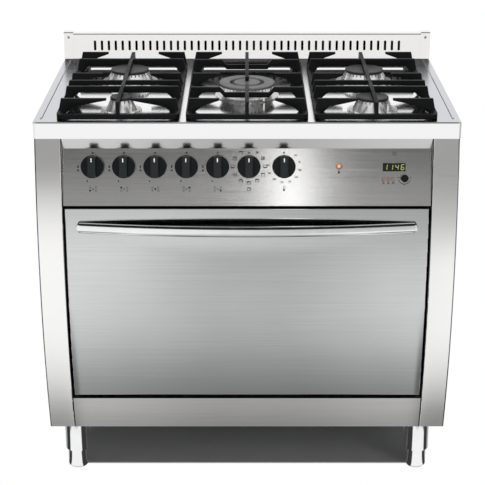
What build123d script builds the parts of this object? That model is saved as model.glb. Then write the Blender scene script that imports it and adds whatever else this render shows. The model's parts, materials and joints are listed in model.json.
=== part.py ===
from build123d import *
import os
from math import atan2, cos, degrees, hypot, pi, sin, sqrt

os.makedirs("parts", exist_ok=True)

# A free-standing range. Millimetres, +Z up, the front faces -Y, the floor is Z = 0.
# A setback is a distance behind the front edge of the worktop.

# Overall
stove_width = 900.0
stove_depth = 600.0
worktop_height = 850.0
body_inset = 2.0
body_bottom = 122.0
rear_recess = 40.0
sheet = 1.5
seam = 0.6
snug = 0.05
rest_gap = 0.3

# Curved front
front_radius = 1580.0
front_bulge = 23.0
bulge_height = 528.0
pillar_width = 57.0
pillar_depth = 75.0
pillar_wall = 2.0
pillar_edge = 3.0

# Worktop
lip_height = 36.0
lip_wall = 2.0
lip_round = 3.0
worktop_corner = 8.0
well_side_border = 13.0
well_front_border = 28.0
well_rear_border = 10.0
well_depth = 5.0
well_corner = 22.0
bead_inset = 15.0
bead_front = 29.0
bead_width = 5.0
bead_height = 1.5
bead_taper = 35.0

# Rear upstand
upstand_height = 63.0
upstand_thickness = 25.0
upstand_round = 3.0
slot_count = 45
slot_margin = 53.0
slot_width = 6.0
slot_height = 25.0
slot_rise = 33.0
end_cap_width = 23.0
end_cap_proud = 1.5
end_cap_rise = 4.0
rivet_head = 3.0
rivet_shank = 1.5
rivet_rise = 54.0
rivet_dome = 1.2

# Pan supports
hob_margin = 42.0
support_space = 14.0
support_front = 12.0
support_rear_gap = 85.0
support_rise = 38.0
support_lean = 7.0
support_corner = 14.0
support_bar = 11.0
support_bar_height = 10.0
support_foot_length = 36.0
support_foot_height = 3.0
rib_thickness = 8.0
rib_root = 33.0
finger_end = 4.0
finger_root = 17.0
spine_depth = 9.0
dip_half = 48.0
dip_slope = 11.0
dip_drop = 12.0
spine_gap_start = 0.345
spine_gap_end = 0.473
# Ribs: share of the support's length from its front, kind, and depth of a bar or reach of a finger's tip
left_rows = [
    (0.084, "finger", 26.0),
    (0.3, "bar", 14.0),
    (0.41, "bar", 10.5),
    (0.548, "finger", 54.0),
    (0.84, "bar", 10.5),
    (0.983, "finger", 60.0),
]
centre_rows = [
    (0.084, "finger", 59.0),
    (0.285, "dip", 11.0),
    (0.548, "finger", 61.0),
    (0.825, "dip", 11.0),
    (0.983, "finger", 60.0),
]
right_rows = [(0.084, "finger", 37.0)] + left_rows[1:]

# Burners: column, share of the support's length, cap radius, skirt radius, seat flange radius
burners = [
    (-1, 0.213, 23.5, 33.5, 44.5),
    (-1, 0.732, 44.0, 55.0, 66.0),
    (0, 0.475, 62.5, 54.0, 71.5),
    (1, 0.732, 44.0, 55.0, 66.0),
    (1, 0.213, 34.0, 44.0, 54.5),
]
wok_index = 2
burner_flange = 2.5
cup_inset = 8.0
cup_depth = 38.0
cup_wall = 2.0
cup_clearance = 0.5
spreader_height = 23.5
spreader_wall = 7.0
cap_overhang = 1.0
cap_thickness = 6.0
cap_round = 2.5
port_width = 2.6
port_height = 5.0
port_pitch = 8.5
wok_slot_inner = 38.0
wok_tower = 28.0
wok_inner_cap = 30.0
wok_base = 6.0
electrode_angle = 2.5
electrode_radius = 2.6
electrode_height = 17.0
electrode_tip_radius = 0.9
electrode_tip = 5.0

# Control panel
panel_height = 145.0
panel_top_setback = 2.0
panel_bend_drop = 27.0
panel_bend_setback = 20.0
panel_foot_setback = -12.0
panel_return = 14.0
knob_row_drop = 64.0
gas_knob_margin = 64.0
knob_pitch_share = 0.0736
gas_knob_count = 5
oven_knob_pitches = 1.12
knob_radius = 24.5
knob_disc = 11.0
knob_disc_round = 2.5
grip_width = 18.0
grip_length = 46.0
grip_height = 18.0
grip_round = 3.5
grip_top_round = 3.2
knob_gap = 4.5
knob_socket = 17.0
push_travel = 3.5
spindle_radius = 4.0
spindle_hole = 6.5
spindle_length = 30.0
shaft_radius = 3.0
shaft_length = 16.0
switch_size = 38.0
rail_clearance = 3.0
lamp_margin = 196.0
lamp_radius = 5.0
lamp_flange = 6.5
lamp_stem = 12.0
lamp_proud = 3.0
lamp_round = 2.7
clock_margin = 79.0
clock_width = 84.0
clock_height = 76.0
window_width = 48.0
window_height = 17.0
window_drop = 1.5
window_gap = 0.2
window_proud = 0.3
button_offset = -22.3
button_pitch = 10.1
button_count = 3
button_drop = 27.0
button_radius = 3.5
button_proud = 2.6
button_length = 7.0
button_travel = 1.5
button_round = 0.4
clock_knob_offset = 22.0
clock_knob_drop = 25.0
clock_knob_radius = 8.0
clock_knob_height = 9.0
clock_knob_gap = 0.8
clock_knob_round = 1.0

# Gas supply
tap_front = 6.0
tap_neck = 28.0
tap_radius = 10.0
tap_block = 24.0
rail_radius = 9.0
boss_radius = 5.0
boss_setback = 24.0
boss_height = 12.0
pipe_radius = 3.0
pipe_bend = 5.0
pipe_first_rise = 13.0
pipe_level_step = 8.0
inlet_margin = 31.0
inlet_thread_radius = 10.48
inlet_thread_length = 18.0
inlet_gap = 6.0
inlet_hole_gap = 0.5

# Oven door
door_gap = 5.0
side_gap = 4.0
skin = 1.5
skin_return = 16.0
skin_edge = 1.2
skin_gap = 0.3
liner_wall = 2.0
glass_thickness = 4.0
glass_margin = 22.0
glass_overlap = 45.0
pivot_rise = 20.0
pivot_inset = 15.0
door_foot = 5.0
swing_clearance = 1.5
plinth_clearance = 5.0
hinge_inset = 26.0
arm_thickness = 6.0
arm_height = 14.0
arm_eye = 8.0
arm_side_gap = 0.5
strap_thickness = 3.0
strap_height = 42.0
strap_web = 8.0
strap_reach = 9.0
pin_radius = 4.0
handle_drop = 39.0
handle_reach = 33.0
handle_radius = 11.5
handle_margin = 24.0
handle_stand = 6.0
handle_seat = 0.1
handle_tip = 8.0
door_step = 2.0

# Oven
cavity_side = 118.0
cavity_drop = 61.0
cavity_rise = 55.0
cavity_rear = 92.0
liner_sheet = 2.0
jacket = 20.0
seal_space = 4.0
seal_width = 6.0
seal_margin = 5.0
seal_corner = 12.0
runner_reach = 8.0
runner_height = 8.0
runner_count = 3
runner_pitch = 85.0
runner_first = 60.0
shelf_rod = 4.0
shelf_wire = 2.2
shelf_wire_count = 13
shelf_gap = 3.0
shelf_runner = 1
element_radius = 3.2
element_half_width = 150.0
element_inset = 18.0
element_front = 70.0
element_bend = 40.0
fan_radius = 70.0
fan_hub = 14.0
fan_blade_count = 8
fan_blade_depth = 22.0
fan_blade_thickness = 2.0
fan_gap = 8.0
fan_plate = 2.0
ring_radius = 85.0
ring_lead_angle = 8.0
fan_shaft = 4.0
fan_shaft_hole = 7.0
fan_cover_size = 230.0
fan_cover_depth = 42.0
fan_cover_slot = 8.0
fan_cover_slot_count = 16
motor_radius = 35.0
motor_length = 40.0
motor_socket = 30.0
oven_lamp_radius = 22.0
oven_lamp_depth = 14.0
oven_lamp_inset = 90.0
oven_lamp_rise = 95.0

# Base, legs and rear
plinth_height = 81.0
base_thickness = 2.0
base_rim = 30.0
leg_inset = 55.0
leg_setback = 75.0
leg_radius = 27.5
leg_end = 46.0
leg_taper = 8.0
leg_taper_in = 2.0
leg_roof = 4.0
foot_radius = 22.5
foot_room = 6.0
foot_round = 8.0
vent_count = 14
vent_margin = 162.0
vent_width = 10.0
vent_height = 46.0
vent_drop = 92.0
screw_head = 4.0
screw_head_height = 2.4
screw_shank = 2.0
screw_length = 8.0
screw_margin = 14.0
screw_rows = 5
box_margin = 148.0
box_height = 300.0
box_width = 100.0
box_tall = 80.0
box_deep = 26.0
box_wall = 2.5
gland_radius = 10.0
gland_bore = 6.0
gland_length = 8.0


# Places worked out from the sizes
def curve_setback(height, inset=0.0):
    rise = height - bulge_height
    return front_radius - front_bulge - sqrt((front_radius - inset) ** 2 - rise**2)


panel_top = worktop_height - lip_height
panel_bottom = panel_top - panel_height
door_top = panel_bottom - door_gap
plinth_top = body_bottom + plinth_height
plinth_gap = hypot(pivot_inset, pivot_rise) - pivot_rise + plinth_clearance
door_bottom = plinth_top + plinth_gap
handle_height = door_top - handle_drop
handle_ahead = handle_reach + handle_radius - curve_setback(handle_height)
front_edge = -(stove_depth - handle_ahead) / 2
rear_edge = front_edge + stove_depth

pivot_height = door_bottom + pivot_rise
pivot_y = front_edge + curve_setback(door_bottom) + pivot_inset
oven_front = pivot_y + hypot(pivot_rise, door_foot) + swing_clearance
door_back = oven_front - seal_space
liner_back = door_back - glass_thickness
foot_back = pivot_y + door_foot

body_width = stove_width - 2 * body_inset
body_half = body_width / 2
pillar_inner = body_half - pillar_width
pillar_back = front_edge + pillar_depth
panel_half = pillar_inner - seam
door_half = pillar_inner - side_gap
liner_half = door_half - skin - skin_gap
hinge_x = pillar_inner - hinge_inset
handle_half = door_half - handle_margin
rear_face = rear_edge - rear_recess
worktop_under = worktop_height - lip_wall
worktop_middle = front_edge + stove_depth / 2
support_pitch = (stove_width - 2 * hob_margin) / 3
support_width = support_pitch - support_space
support_length = stove_depth - upstand_thickness - support_front - support_rear_gap
support_start = front_edge + support_front
well_width = support_width - 2 * well_side_border
well_length = support_length - well_front_border - well_rear_border
well_middle = support_start + well_front_border + well_length / 2
burner_seat = worktop_height - well_depth
cap_seat = burner_seat + burner_flange + spreader_height

cavity_width = body_width - 2 * cavity_side
cavity_top = panel_bottom - cavity_drop
cavity_bottom = door_bottom + cavity_rise
cavity_height = cavity_top - cavity_bottom
cavity_back = rear_face - cavity_rear
cavity_middle = (cavity_top + cavity_bottom) / 2
oven_lamp_x = cavity_width / 2 - oven_lamp_inset
fan_plane = Plane(origin=(0, cavity_back, cavity_middle), x_dir=(1, 0, 0), z_dir=(0, -1, 0))

# The main face of the control panel leans back, and its plane carries the knobs.
panel_bend_z = panel_top - panel_bend_drop
panel_lean = atan2(panel_bend_setback - panel_foot_setback, panel_bend_z - panel_bottom)
knob_z = panel_top - knob_row_drop
knob_y = front_edge + panel_bend_setback - (panel_bend_z - knob_z) * sin(panel_lean) / cos(panel_lean)
panel_out = (0, -cos(panel_lean), sin(panel_lean))


def panel_plane(x, up=0.0):
    face = Plane(origin=(x, knob_y, knob_z), x_dir=(1, 0, 0), z_dir=panel_out)
    return Plane(origin=face.from_local_coords((0, up, 0)), x_dir=(1, 0, 0), z_dir=panel_out)


rail_setback = tap_front + tap_neck + tap_block / 2
module_depth = rail_setback - rail_radius - rail_clearance - sheet
knob_pitch = knob_pitch_share * stove_width
gas_first_x = gas_knob_margin - pillar_inner
gas_knob_xs = [gas_first_x + knob_pitch * i for i in range(gas_knob_count)]
function_x = gas_first_x + knob_pitch * gas_knob_count
thermostat_x = function_x + knob_pitch * oven_knob_pitches
lamp_x = pillar_inner - lamp_margin
clock_x = pillar_inner - clock_margin
button_xs = [clock_x + button_offset + button_pitch * i for i in range(button_count)]
clock_knob_x = clock_x + clock_knob_offset
inlet_x = pillar_inner - inlet_margin
leg_x = body_half - leg_inset
box_x = box_margin - body_half
leg_places = [
    (side * leg_x, y)
    for y in (front_edge + leg_setback, rear_face - leg_setback)
    for side in (-1, 1)
]
leg_names = ["front_left", "front_right", "rear_left", "rear_right"]


def front_y(height, inset=0.0):
    return front_edge + curve_setback(height, inset)


def front_outline(x, low, high, inset, back):
    # Outline between the curved front, moved in by the inset, and a flat back.
    middle = (low + high) / 2
    with BuildSketch(Plane.YZ.offset(x)) as outline:
        with BuildLine():
            curve = ThreePointArc(
                (front_y(low, inset), low),
                (front_y(middle, inset), middle),
                (front_y(high, inset), high),
            )
            Polyline(curve @ 1, (back, high), (back, low), curve @ 0)
        make_face()
    return outline.sketch


def curved_band(x, low, high, inset_front, inset_back):
    # Outline between two curves that run along the front.
    middle = (low + high) / 2
    with BuildSketch(Plane.YZ.offset(x)) as outline:
        with BuildLine():
            outer = ThreePointArc(
                (front_y(low, inset_front), low),
                (front_y(middle, inset_front), middle),
                (front_y(high, inset_front), high),
            )
            inner = ThreePointArc(
                (front_y(low, inset_back), low),
                (front_y(middle, inset_back), middle),
                (front_y(high, inset_back), high),
            )
            Line(outer @ 1, inner @ 1)
            Line(outer @ 0, inner @ 0)
        make_face()
    return outline.sketch


def bent_sheet(x, points, thickness):
    # Outline of a folded sheet: the points, and the same points moved to the left of the path.
    spots = [Vector(*point) for point in points]
    runs = [(b - a).normalized() for a, b in zip(spots, spots[1:])]
    sides = [Vector(-run.Y, run.X) for run in runs]
    inner = []
    for i, spot in enumerate(spots):
        before = sides[max(i - 1, 0)]
        after = sides[min(i, len(sides) - 1)]
        inner.append(spot + (before + after) * (thickness / (1 + before.dot(after))))
    corners = [(spot.X, spot.Y) for spot in spots + inner[::-1]]
    with BuildSketch(Plane.YZ.offset(x)) as outline:
        with BuildLine():
            Polyline(*corners, close=True)
        make_face()
    return outline.sketch


# Base tray
base_front = pillar_back
base_length = rear_face - sheet - base_front
base_middle = base_front + base_length / 2
with BuildPart() as base_frame:
    with BuildSketch(Plane.XY.offset(body_bottom)):
        with Locations((0, base_middle)):
            Rectangle(body_width - 2 * sheet, base_length)
    extrude(amount=base_rim)
    with BuildSketch(Plane.XY.offset(body_bottom + base_thickness)):
        with Locations((0, base_middle)):
            Rectangle(body_width - 2 * sheet - 2 * base_thickness, base_length - 2 * base_thickness)
    extrude(amount=base_rim, mode=Mode.SUBTRACT)
base_frame.part.label = "base_frame"
export_step(base_frame.part, "parts/base_frame.step")

# Side panels
with BuildPart() as side_panels:
    for x in (-body_half, body_half - sheet):
        with BuildSketch(Plane.YZ.offset(x)):
            with Locations(((pillar_back + rear_face) / 2, (body_bottom + worktop_under) / 2)):
                Rectangle(rear_face - pillar_back, worktop_under - body_bottom)
        extrude(amount=sheet)
side_panels.part.label = "side_panels"
export_step(side_panels.part, "parts/side_panels.step")

# Front pillars: closed channels, open to the back
with BuildPart() as front_pillars:
    for x in (-body_half, pillar_inner):
        extrude(front_outline(x, body_bottom, panel_top, 0, pillar_back), amount=pillar_width)
    front_edges = front_pillars.edges().filter_by(GeomType.CIRCLE)
    fillet(front_edges, radius=pillar_edge)
    for x in (-body_half, pillar_inner):
        extrude(
            front_outline(
                x + pillar_wall,
                body_bottom + pillar_wall,
                panel_top - pillar_wall,
                pillar_wall,
                pillar_back + pillar_wall,
            ),
            amount=pillar_width - 2 * pillar_wall,
            mode=Mode.SUBTRACT,
        )
front_pillars.part.label = "front_pillars"
export_step(front_pillars.part, "parts/front_pillars.step")

# Plinth: a curved front with a top and a bottom return
with BuildPart() as plinth_panel:
    extrude(
        front_outline(-panel_half, body_bottom, plinth_top, 0, pillar_back),
        amount=2 * panel_half,
    )
    extrude(
        front_outline(
            -panel_half, body_bottom + sheet, plinth_top - sheet, sheet, pillar_back + sheet
        ),
        amount=2 * panel_half,
        mode=Mode.SUBTRACT,
    )
plinth_panel.part.label = "plinth_panel"
export_step(plinth_panel.part, "parts/plinth_panel.step")

# Worktop: a pressed lid with three wells
well_xs = [column * support_pitch for column in (-1, 0, 1)]
burner_places = [
    (column * support_pitch, support_start + share * support_length) for column, share, *_ in burners
]
cup_radii = [skirt - cup_inset for *_, skirt, _ in burners]
with BuildPart() as worktop:
    with BuildSketch(Plane.XY.offset(panel_top)):
        with Locations((0, worktop_middle)):
            RectangleRounded(stove_width, stove_depth, worktop_corner)
    extrude(amount=lip_height)
    fillet(worktop.faces().sort_by(Axis.Z)[-1].edges(), radius=lip_round)
    with BuildSketch(Plane.XY.offset(panel_top)):
        with Locations((0, worktop_middle)):
            RectangleRounded(
                stove_width - 2 * lip_wall, stove_depth - 2 * lip_wall, worktop_corner - lip_wall
            )
    extrude(amount=lip_height - lip_wall, mode=Mode.SUBTRACT)
    with BuildSketch(Plane.XY.offset(burner_seat - lip_wall)):
        with Locations(*[(x, well_middle) for x in well_xs]):
            RectangleRounded(
                well_width + 2 * lip_wall, well_length + 2 * lip_wall, well_corner + lip_wall
            )
    extrude(amount=well_depth)
    with BuildSketch(Plane.XY.offset(worktop_height)):
        with Locations(*[(x, well_middle) for x in well_xs]):
            RectangleRounded(well_width, well_length, well_corner)
    extrude(amount=-well_depth, mode=Mode.SUBTRACT)
    with BuildSketch(Plane.XY.offset(worktop_height)):
        for place, radius in zip(burner_places, cup_radii):
            with Locations(place):
                Circle(radius + cup_clearance)
    extrude(amount=-well_depth - 2 * lip_wall, mode=Mode.SUBTRACT)
    bead_length = stove_depth - upstand_thickness - bead_front - bead_inset
    bead_middle = front_edge + bead_front + bead_length / 2
    with BuildSketch(Plane.XY.offset(worktop_height)):
        with Locations(*[(side * (stove_width / 2 - bead_inset), bead_middle) for side in (-1, 1)]):
            Rectangle(bead_width, bead_length)
    extrude(amount=bead_height, taper=bead_taper)
worktop.part.label = "worktop"
export_step(worktop.part, "parts/worktop.step")

# Rear upstand with its row of slots
upstand_front = rear_edge - upstand_thickness
upstand_half = stove_width / 2 - end_cap_width
upstand_middle = (upstand_front + rear_edge) / 2
slot_pitch = 2 * (upstand_half - slot_margin) / (slot_count - 1)
with BuildPart() as upstand:
    with BuildSketch(Plane.XY.offset(worktop_height)):
        with Locations((0, upstand_middle)):
            Rectangle(2 * upstand_half, upstand_thickness)
    extrude(amount=upstand_height)
    top_edges = upstand.faces().sort_by(Axis.Z)[-1].edges().filter_by(Axis.X)
    fillet(top_edges, radius=upstand_round)
    with BuildSketch(Plane.XY.offset(worktop_height)):
        with Locations((0, upstand_middle)):
            Rectangle(2 * upstand_half + sheet, upstand_thickness - 2 * sheet)
    extrude(amount=upstand_height - sheet, mode=Mode.SUBTRACT)
    with BuildSketch(Plane.XZ.offset(-upstand_front)):
        with Locations((0, worktop_height + slot_rise)):
            with GridLocations(slot_pitch, 1, slot_count, 1):
                SlotOverall(slot_height, slot_width, rotation=90)
    extrude(amount=-2 * sheet, mode=Mode.SUBTRACT)
upstand.part.label = "upstand"
export_step(upstand.part, "parts/upstand.step")

# End caps of the upstand
cap_front = upstand_front - end_cap_proud
cap_top = worktop_height + upstand_height + end_cap_rise
cap_centres = [side * (stove_width / 2 - end_cap_width / 2) for side in (-1, 1)]
cap_length = rear_edge - cap_front
with BuildPart() as upstand_end_caps:
    with BuildSketch(Plane.XY.offset(worktop_height)):
        with Locations(*[(x, (cap_front + rear_edge) / 2) for x in cap_centres]):
            Rectangle(end_cap_width, cap_length)
    extrude(amount=cap_top - worktop_height)
    cap_edges = upstand_end_caps.edges().filter_by(Axis.X).group_by(Axis.Z)[-1]
    fillet(cap_edges, radius=upstand_round)
    with BuildSketch(Plane.XY.offset(worktop_height)):
        with Locations(*[(x, (cap_front + rear_edge) / 2) for x in cap_centres]):
            Rectangle(end_cap_width - 2 * sheet, cap_length - 2 * sheet)
    extrude(amount=cap_top - worktop_height - sheet, mode=Mode.SUBTRACT)
    with BuildSketch(Plane.XZ.offset(-cap_front)):
        with Locations(*[(x, worktop_height + rivet_rise) for x in cap_centres]):
            Circle(rivet_shank + snug)
    extrude(amount=-2 * sheet, mode=Mode.SUBTRACT)
upstand_end_caps.part.label = "upstand_end_caps"
export_step(upstand_end_caps.part, "parts/upstand_end_caps.step")

# Control panel: a folded sheet, top strip, leaning main face and bottom return
panel_points = [
    (front_edge + panel_top_setback + panel_return, panel_top),
    (front_edge + panel_top_setback, panel_top),
    (front_edge + panel_bend_setback, panel_bend_z),
    (front_edge + panel_foot_setback, panel_bottom),
    (oven_front + liner_sheet, panel_bottom),
]
knob_xs = gas_knob_xs + [function_x, thermostat_x]
with BuildPart() as control_panel:
    extrude(bent_sheet(-panel_half, panel_points, sheet), amount=2 * panel_half)
    with BuildSketch(panel_plane(0)):
        with Locations(*[(x, 0) for x in knob_xs]):
            Circle(spindle_hole)
        with Locations((lamp_x, 0)):
            Circle(lamp_radius)
        with Locations((clock_x, -window_drop)):
            Rectangle(window_width + 2 * window_gap, window_height + 2 * window_gap)
        with Locations(*[(x, -button_drop) for x in button_xs]):
            Circle(button_radius + rest_gap)
        with Locations((clock_knob_x, -clock_knob_drop)):
            Circle(shaft_radius + rest_gap)
    extrude(amount=2 * sheet, both=True, mode=Mode.SUBTRACT)
control_panel.part.label = "control_panel"
export_step(control_panel.part, "parts/control_panel.step")

# Burner cups, one hanging through each hole of the worktop
with BuildPart() as burner_cups:
    for place, radius, (*_, flange_radius) in zip(burner_places, cup_radii, burners):
        with BuildSketch(Plane.XY.offset(burner_seat)):
            with Locations(place):
                Circle(flange_radius)
        extrude(amount=burner_flange)
        with BuildSketch(Plane.XY.offset(burner_seat)):
            with Locations(place):
                Circle(radius)
        extrude(amount=-cup_depth)
        with BuildSketch(Plane.XY.offset(burner_seat + burner_flange)):
            with Locations(place):
                Circle(radius - cup_wall)
        extrude(amount=cup_wall - cup_depth - burner_flange, mode=Mode.SUBTRACT)
burner_cups.part.label = "burner_cups"
export_step(burner_cups.part, "parts/burner_cups.step")

# Flame spreaders: conical skirts with ports under the cap
spreader_base = burner_seat + burner_flange
with BuildPart() as flame_spreaders:
    for index, (place, burner) in enumerate(zip(burner_places, burners)):
        *_, cap_radius, skirt_radius, _ = burner
        crown_radius = cap_radius - cap_overhang
        bore_radius = crown_radius - spreader_wall
        slope = degrees(atan2(skirt_radius - crown_radius, spreader_height))
        with BuildSketch(Plane.XY.offset(spreader_base)):
            with Locations(place):
                Circle(skirt_radius)
        extrude(amount=spreader_height, taper=slope)
        if index == wok_index:
            with BuildSketch(Plane.XY.offset(cap_seat)):
                with Locations(place):
                    Circle(wok_slot_inner)
                    Circle(wok_tower, mode=Mode.SUBTRACT)
            extrude(amount=wok_base - spreader_height, mode=Mode.SUBTRACT)
            bore_radius = wok_tower - spreader_wall
        with BuildSketch(Plane.XY.offset(cap_seat)):
            with Locations(place):
                Circle(bore_radius)
        extrude(amount=-spreader_height, mode=Mode.SUBTRACT)
        port_count = int(2 * pi * crown_radius / port_pitch)
        with BuildSketch(Plane.XY.offset(cap_seat)):
            with Locations(place):
                with PolarLocations(crown_radius, port_count):
                    Rectangle(2 * spreader_wall - 2 * cap_overhang, port_width)
        extrude(amount=-port_height, mode=Mode.SUBTRACT)
flame_spreaders.part.label = "flame_spreaders"
export_step(flame_spreaders.part, "parts/flame_spreaders.step")

# Burner caps: discs, and on the centre burner a ring round a small disc
with BuildPart() as burner_caps:
    for index, (place, burner) in enumerate(zip(burner_places, burners)):
        _, _, cap_radius, *_ = burner
        with BuildSketch(Plane.XY.offset(cap_seat)):
            with Locations(place):
                Circle(cap_radius)
                if index == wok_index:
                    Circle(wok_slot_inner, mode=Mode.SUBTRACT)
                    Circle(wok_inner_cap)
        extrude(amount=cap_thickness)
    rim_edges = burner_caps.edges().filter_by(GeomType.CIRCLE).group_by(Axis.Z)[-1]
    fillet(rim_edges, radius=cap_round)
burner_caps.part.label = "burner_caps"
export_step(burner_caps.part, "parts/burner_caps.step")

# Spark electrodes, one on each seat flange
with BuildPart() as spark_electrodes:
    for (x, y), (*_, skirt_radius, flange_radius) in zip(burner_places, burners):
        reach = (skirt_radius + flange_radius) / 2
        spot = (x + reach * sin(electrode_angle), y + reach * cos(electrode_angle))
        with BuildSketch(Plane.XY.offset(spreader_base)):
            with Locations(spot):
                Circle(electrode_radius)
        extrude(amount=electrode_height)
        with BuildSketch(Plane.XY.offset(spreader_base + electrode_height)):
            with Locations(spot):
                Circle(electrode_tip_radius)
        extrude(amount=electrode_tip)
spark_electrodes.part.label = "spark_electrodes"
export_step(spark_electrodes.part, "parts/spark_electrodes.step")


def finger(side, tip):
    # One side of a rib, from the ring up to the top and in to its tip.
    half = support_width / 2
    low = worktop_height + support_foot_height
    high = worktop_height + support_rise
    return [
        (side * half, low),
        (side * (half - support_lean), high),
        (side * tip, high),
        (side * tip, high - finger_end),
        (side * (half - rib_root), high - finger_root),
        (side * (half - support_bar), low),
    ]


def rib_outlines(kind, size):
    if kind == "finger":
        return [finger(-1, size), finger(1, size)]
    half = support_width / 2
    low = worktop_height + support_foot_height
    high = worktop_height + support_rise
    drop = dip_drop if kind == "dip" else 0.0
    right = [
        (dip_half, high - drop - size),
        (dip_half + dip_slope, high - size),
        (half - rib_root, high - size),
        (half - support_bar, low),
        (half, low),
        (half - support_lean, high),
        (dip_half + dip_slope, high),
        (dip_half, high - drop),
    ]
    left = [(-x, z) for x, z in right[::-1]]
    return [right + left]


def pan_support(column, rows, spine_gap):
    # A cast ring on four feet, with ribs across it and a spine along it.
    middle_x = column * support_pitch
    front = support_start
    back = front + support_length
    middle_y = (front + back) / 2
    low = worktop_height + support_foot_height
    high = worktop_height + support_rise
    foot_x = (support_width - support_bar) / 2
    foot_y = support_length / 2 - support_corner - support_foot_length / 2
    with BuildPart() as support:
        with BuildSketch(Plane.XY.offset(low)):
            with Locations((middle_x, middle_y)):
                RectangleRounded(support_width, support_length, support_corner)
                Rectangle(
                    support_width - 2 * support_bar,
                    support_length - 2 * support_bar,
                    mode=Mode.SUBTRACT,
                )
        extrude(amount=support_bar_height)
        with BuildSketch(Plane.XY.offset(worktop_height)):
            with Locations((middle_x, middle_y)):
                with GridLocations(2 * foot_x, 2 * foot_y, 2, 2):
                    Rectangle(support_bar, support_foot_length)
        extrude(amount=support_foot_height)
        for share, kind, size in rows:
            rib_back = front + share * support_length + rib_thickness / 2
            for outline in rib_outlines(kind, size):
                with BuildSketch(Plane.XZ.offset(-rib_back)):
                    with Locations((middle_x, 0)):
                        Polygon(*outline, align=None)
                extrude(amount=rib_thickness)
        spine = [
            (front, low),
            (front + support_lean, high),
            (back - support_lean, high),
            (back, low),
            (back - support_bar, low),
            (back - rib_root, high - spine_depth),
            (front + rib_root, high - spine_depth),
            (front + support_bar, low),
        ]
        with BuildSketch(Plane.YZ.offset(middle_x - rib_thickness / 2)):
            Polygon(*spine, align=None)
            if spine_gap:
                start, end = [front + share * support_length for share in spine_gap]
                with Locations(((start + end) / 2, high)):
                    Rectangle(end - start, 3 * spine_depth, mode=Mode.SUBTRACT)
        extrude(amount=rib_thickness)
    return support.part


# Three pan supports
for support_name, column, rows, spine_gap in (
    ("left", -1, left_rows, None),
    ("centre", 0, centre_rows, (spine_gap_start, spine_gap_end)),
    ("right", 1, right_rows, None),
):
    support = pan_support(column, rows, spine_gap)
    support.label = f"pan_support_{support_name}"
    export_step(support, f"parts/pan_support_{support_name}.step")


def bar_knob(x):
    # A disc with a bar grip across it.
    seat = panel_plane(x).offset(knob_gap)
    outwards = Axis((0, 0, 0), panel_out)
    with BuildPart() as knob:
        with BuildSketch(seat):
            Circle(knob_radius)
        extrude(amount=knob_disc)
        fillet(knob.faces().sort_by(outwards)[-1].edges(), radius=knob_disc_round)
        with BuildSketch(seat.offset(knob_disc)):
            RectangleRounded(grip_width, grip_length, grip_round)
        extrude(amount=grip_height)
        fillet(knob.faces().sort_by(outwards)[-1].edges(), radius=grip_top_round)
    return knob.part


# Gas knobs and the sprung spindles that they sit on
for number, x in enumerate(gas_knob_xs, start=1):
    with BuildPart() as gas_knob:
        add(bar_knob(x))
        with BuildSketch(panel_plane(x).offset(knob_gap)):
            Circle(spindle_radius + snug)
        extrude(amount=knob_socket, mode=Mode.SUBTRACT)
    gas_knob.part.label = f"gas_knob_{number}"
    export_step(gas_knob.part, f"parts/gas_knob_{number}.step")

    with BuildPart() as tap_spindle:
        with BuildSketch(panel_plane(x).offset(-spindle_length)):
            Circle(spindle_radius)
        extrude(amount=spindle_length + knob_gap + knob_socket - rest_gap)
    tap_spindle.part.label = f"tap_spindle_{number}"
    export_step(tap_spindle.part, f"parts/tap_spindle_{number}.step")

# Oven knobs, each with its own shaft
for knob_name, x in (("function_knob", function_x), ("thermostat_knob", thermostat_x)):
    with BuildPart() as oven_knob:
        add(bar_knob(x))
        with BuildSketch(panel_plane(x).offset(knob_gap)):
            Circle(shaft_radius)
        extrude(amount=-(knob_gap + sheet + shaft_length))
    oven_knob.part.label = knob_name
    export_step(oven_knob.part, f"parts/{knob_name}.step")

# Switch bodies behind the oven knobs
with BuildPart() as oven_switches:
    for x in (function_x, thermostat_x):
        with BuildSketch(panel_plane(x).offset(-sheet)):
            Rectangle(switch_size, switch_size)
        extrude(amount=-module_depth)
        with BuildSketch(panel_plane(x).offset(-sheet)):
            Circle(shaft_radius + snug)
        extrude(amount=-(shaft_length + rest_gap), mode=Mode.SUBTRACT)
oven_switches.part.label = "oven_switches"
export_step(oven_switches.part, "parts/oven_switches.step")

# Gas taps on the rail
panel_up = (0, sin(panel_lean), cos(panel_lean))
rail_spot = panel_plane(0).from_local_coords((0, 0, -rail_setback))
rail_y = rail_spot.Y
rail_z = rail_spot.Z
bore_depth = spindle_length - tap_front + push_travel + rest_gap
with BuildPart() as gas_taps:
    for x in gas_knob_xs:
        with BuildSketch(panel_plane(x).offset(-tap_front)):
            Circle(tap_radius)
        extrude(amount=-tap_neck)
        with BuildSketch(panel_plane(x).offset(-tap_front - tap_neck)):
            Rectangle(tap_block, tap_block)
        extrude(amount=-tap_block)
        boss_foot = panel_plane(x).from_local_coords((0, 0, -boss_setback))
        with BuildSketch(Plane(origin=boss_foot, x_dir=(1, 0, 0), z_dir=panel_up)):
            Circle(boss_radius)
        extrude(amount=boss_height)
        with BuildSketch(panel_plane(x).offset(-tap_front)):
            Circle(spindle_radius + snug)
        extrude(amount=-bore_depth, mode=Mode.SUBTRACT)
        with BuildSketch(Plane.YZ.offset(x - tap_block)):
            with Locations((rail_y, rail_z)):
                Circle(rail_radius + snug)
        extrude(amount=2 * tap_block, mode=Mode.SUBTRACT)
gas_taps.part.label = "gas_taps"
export_step(gas_taps.part, "parts/gas_taps.step")

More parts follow.
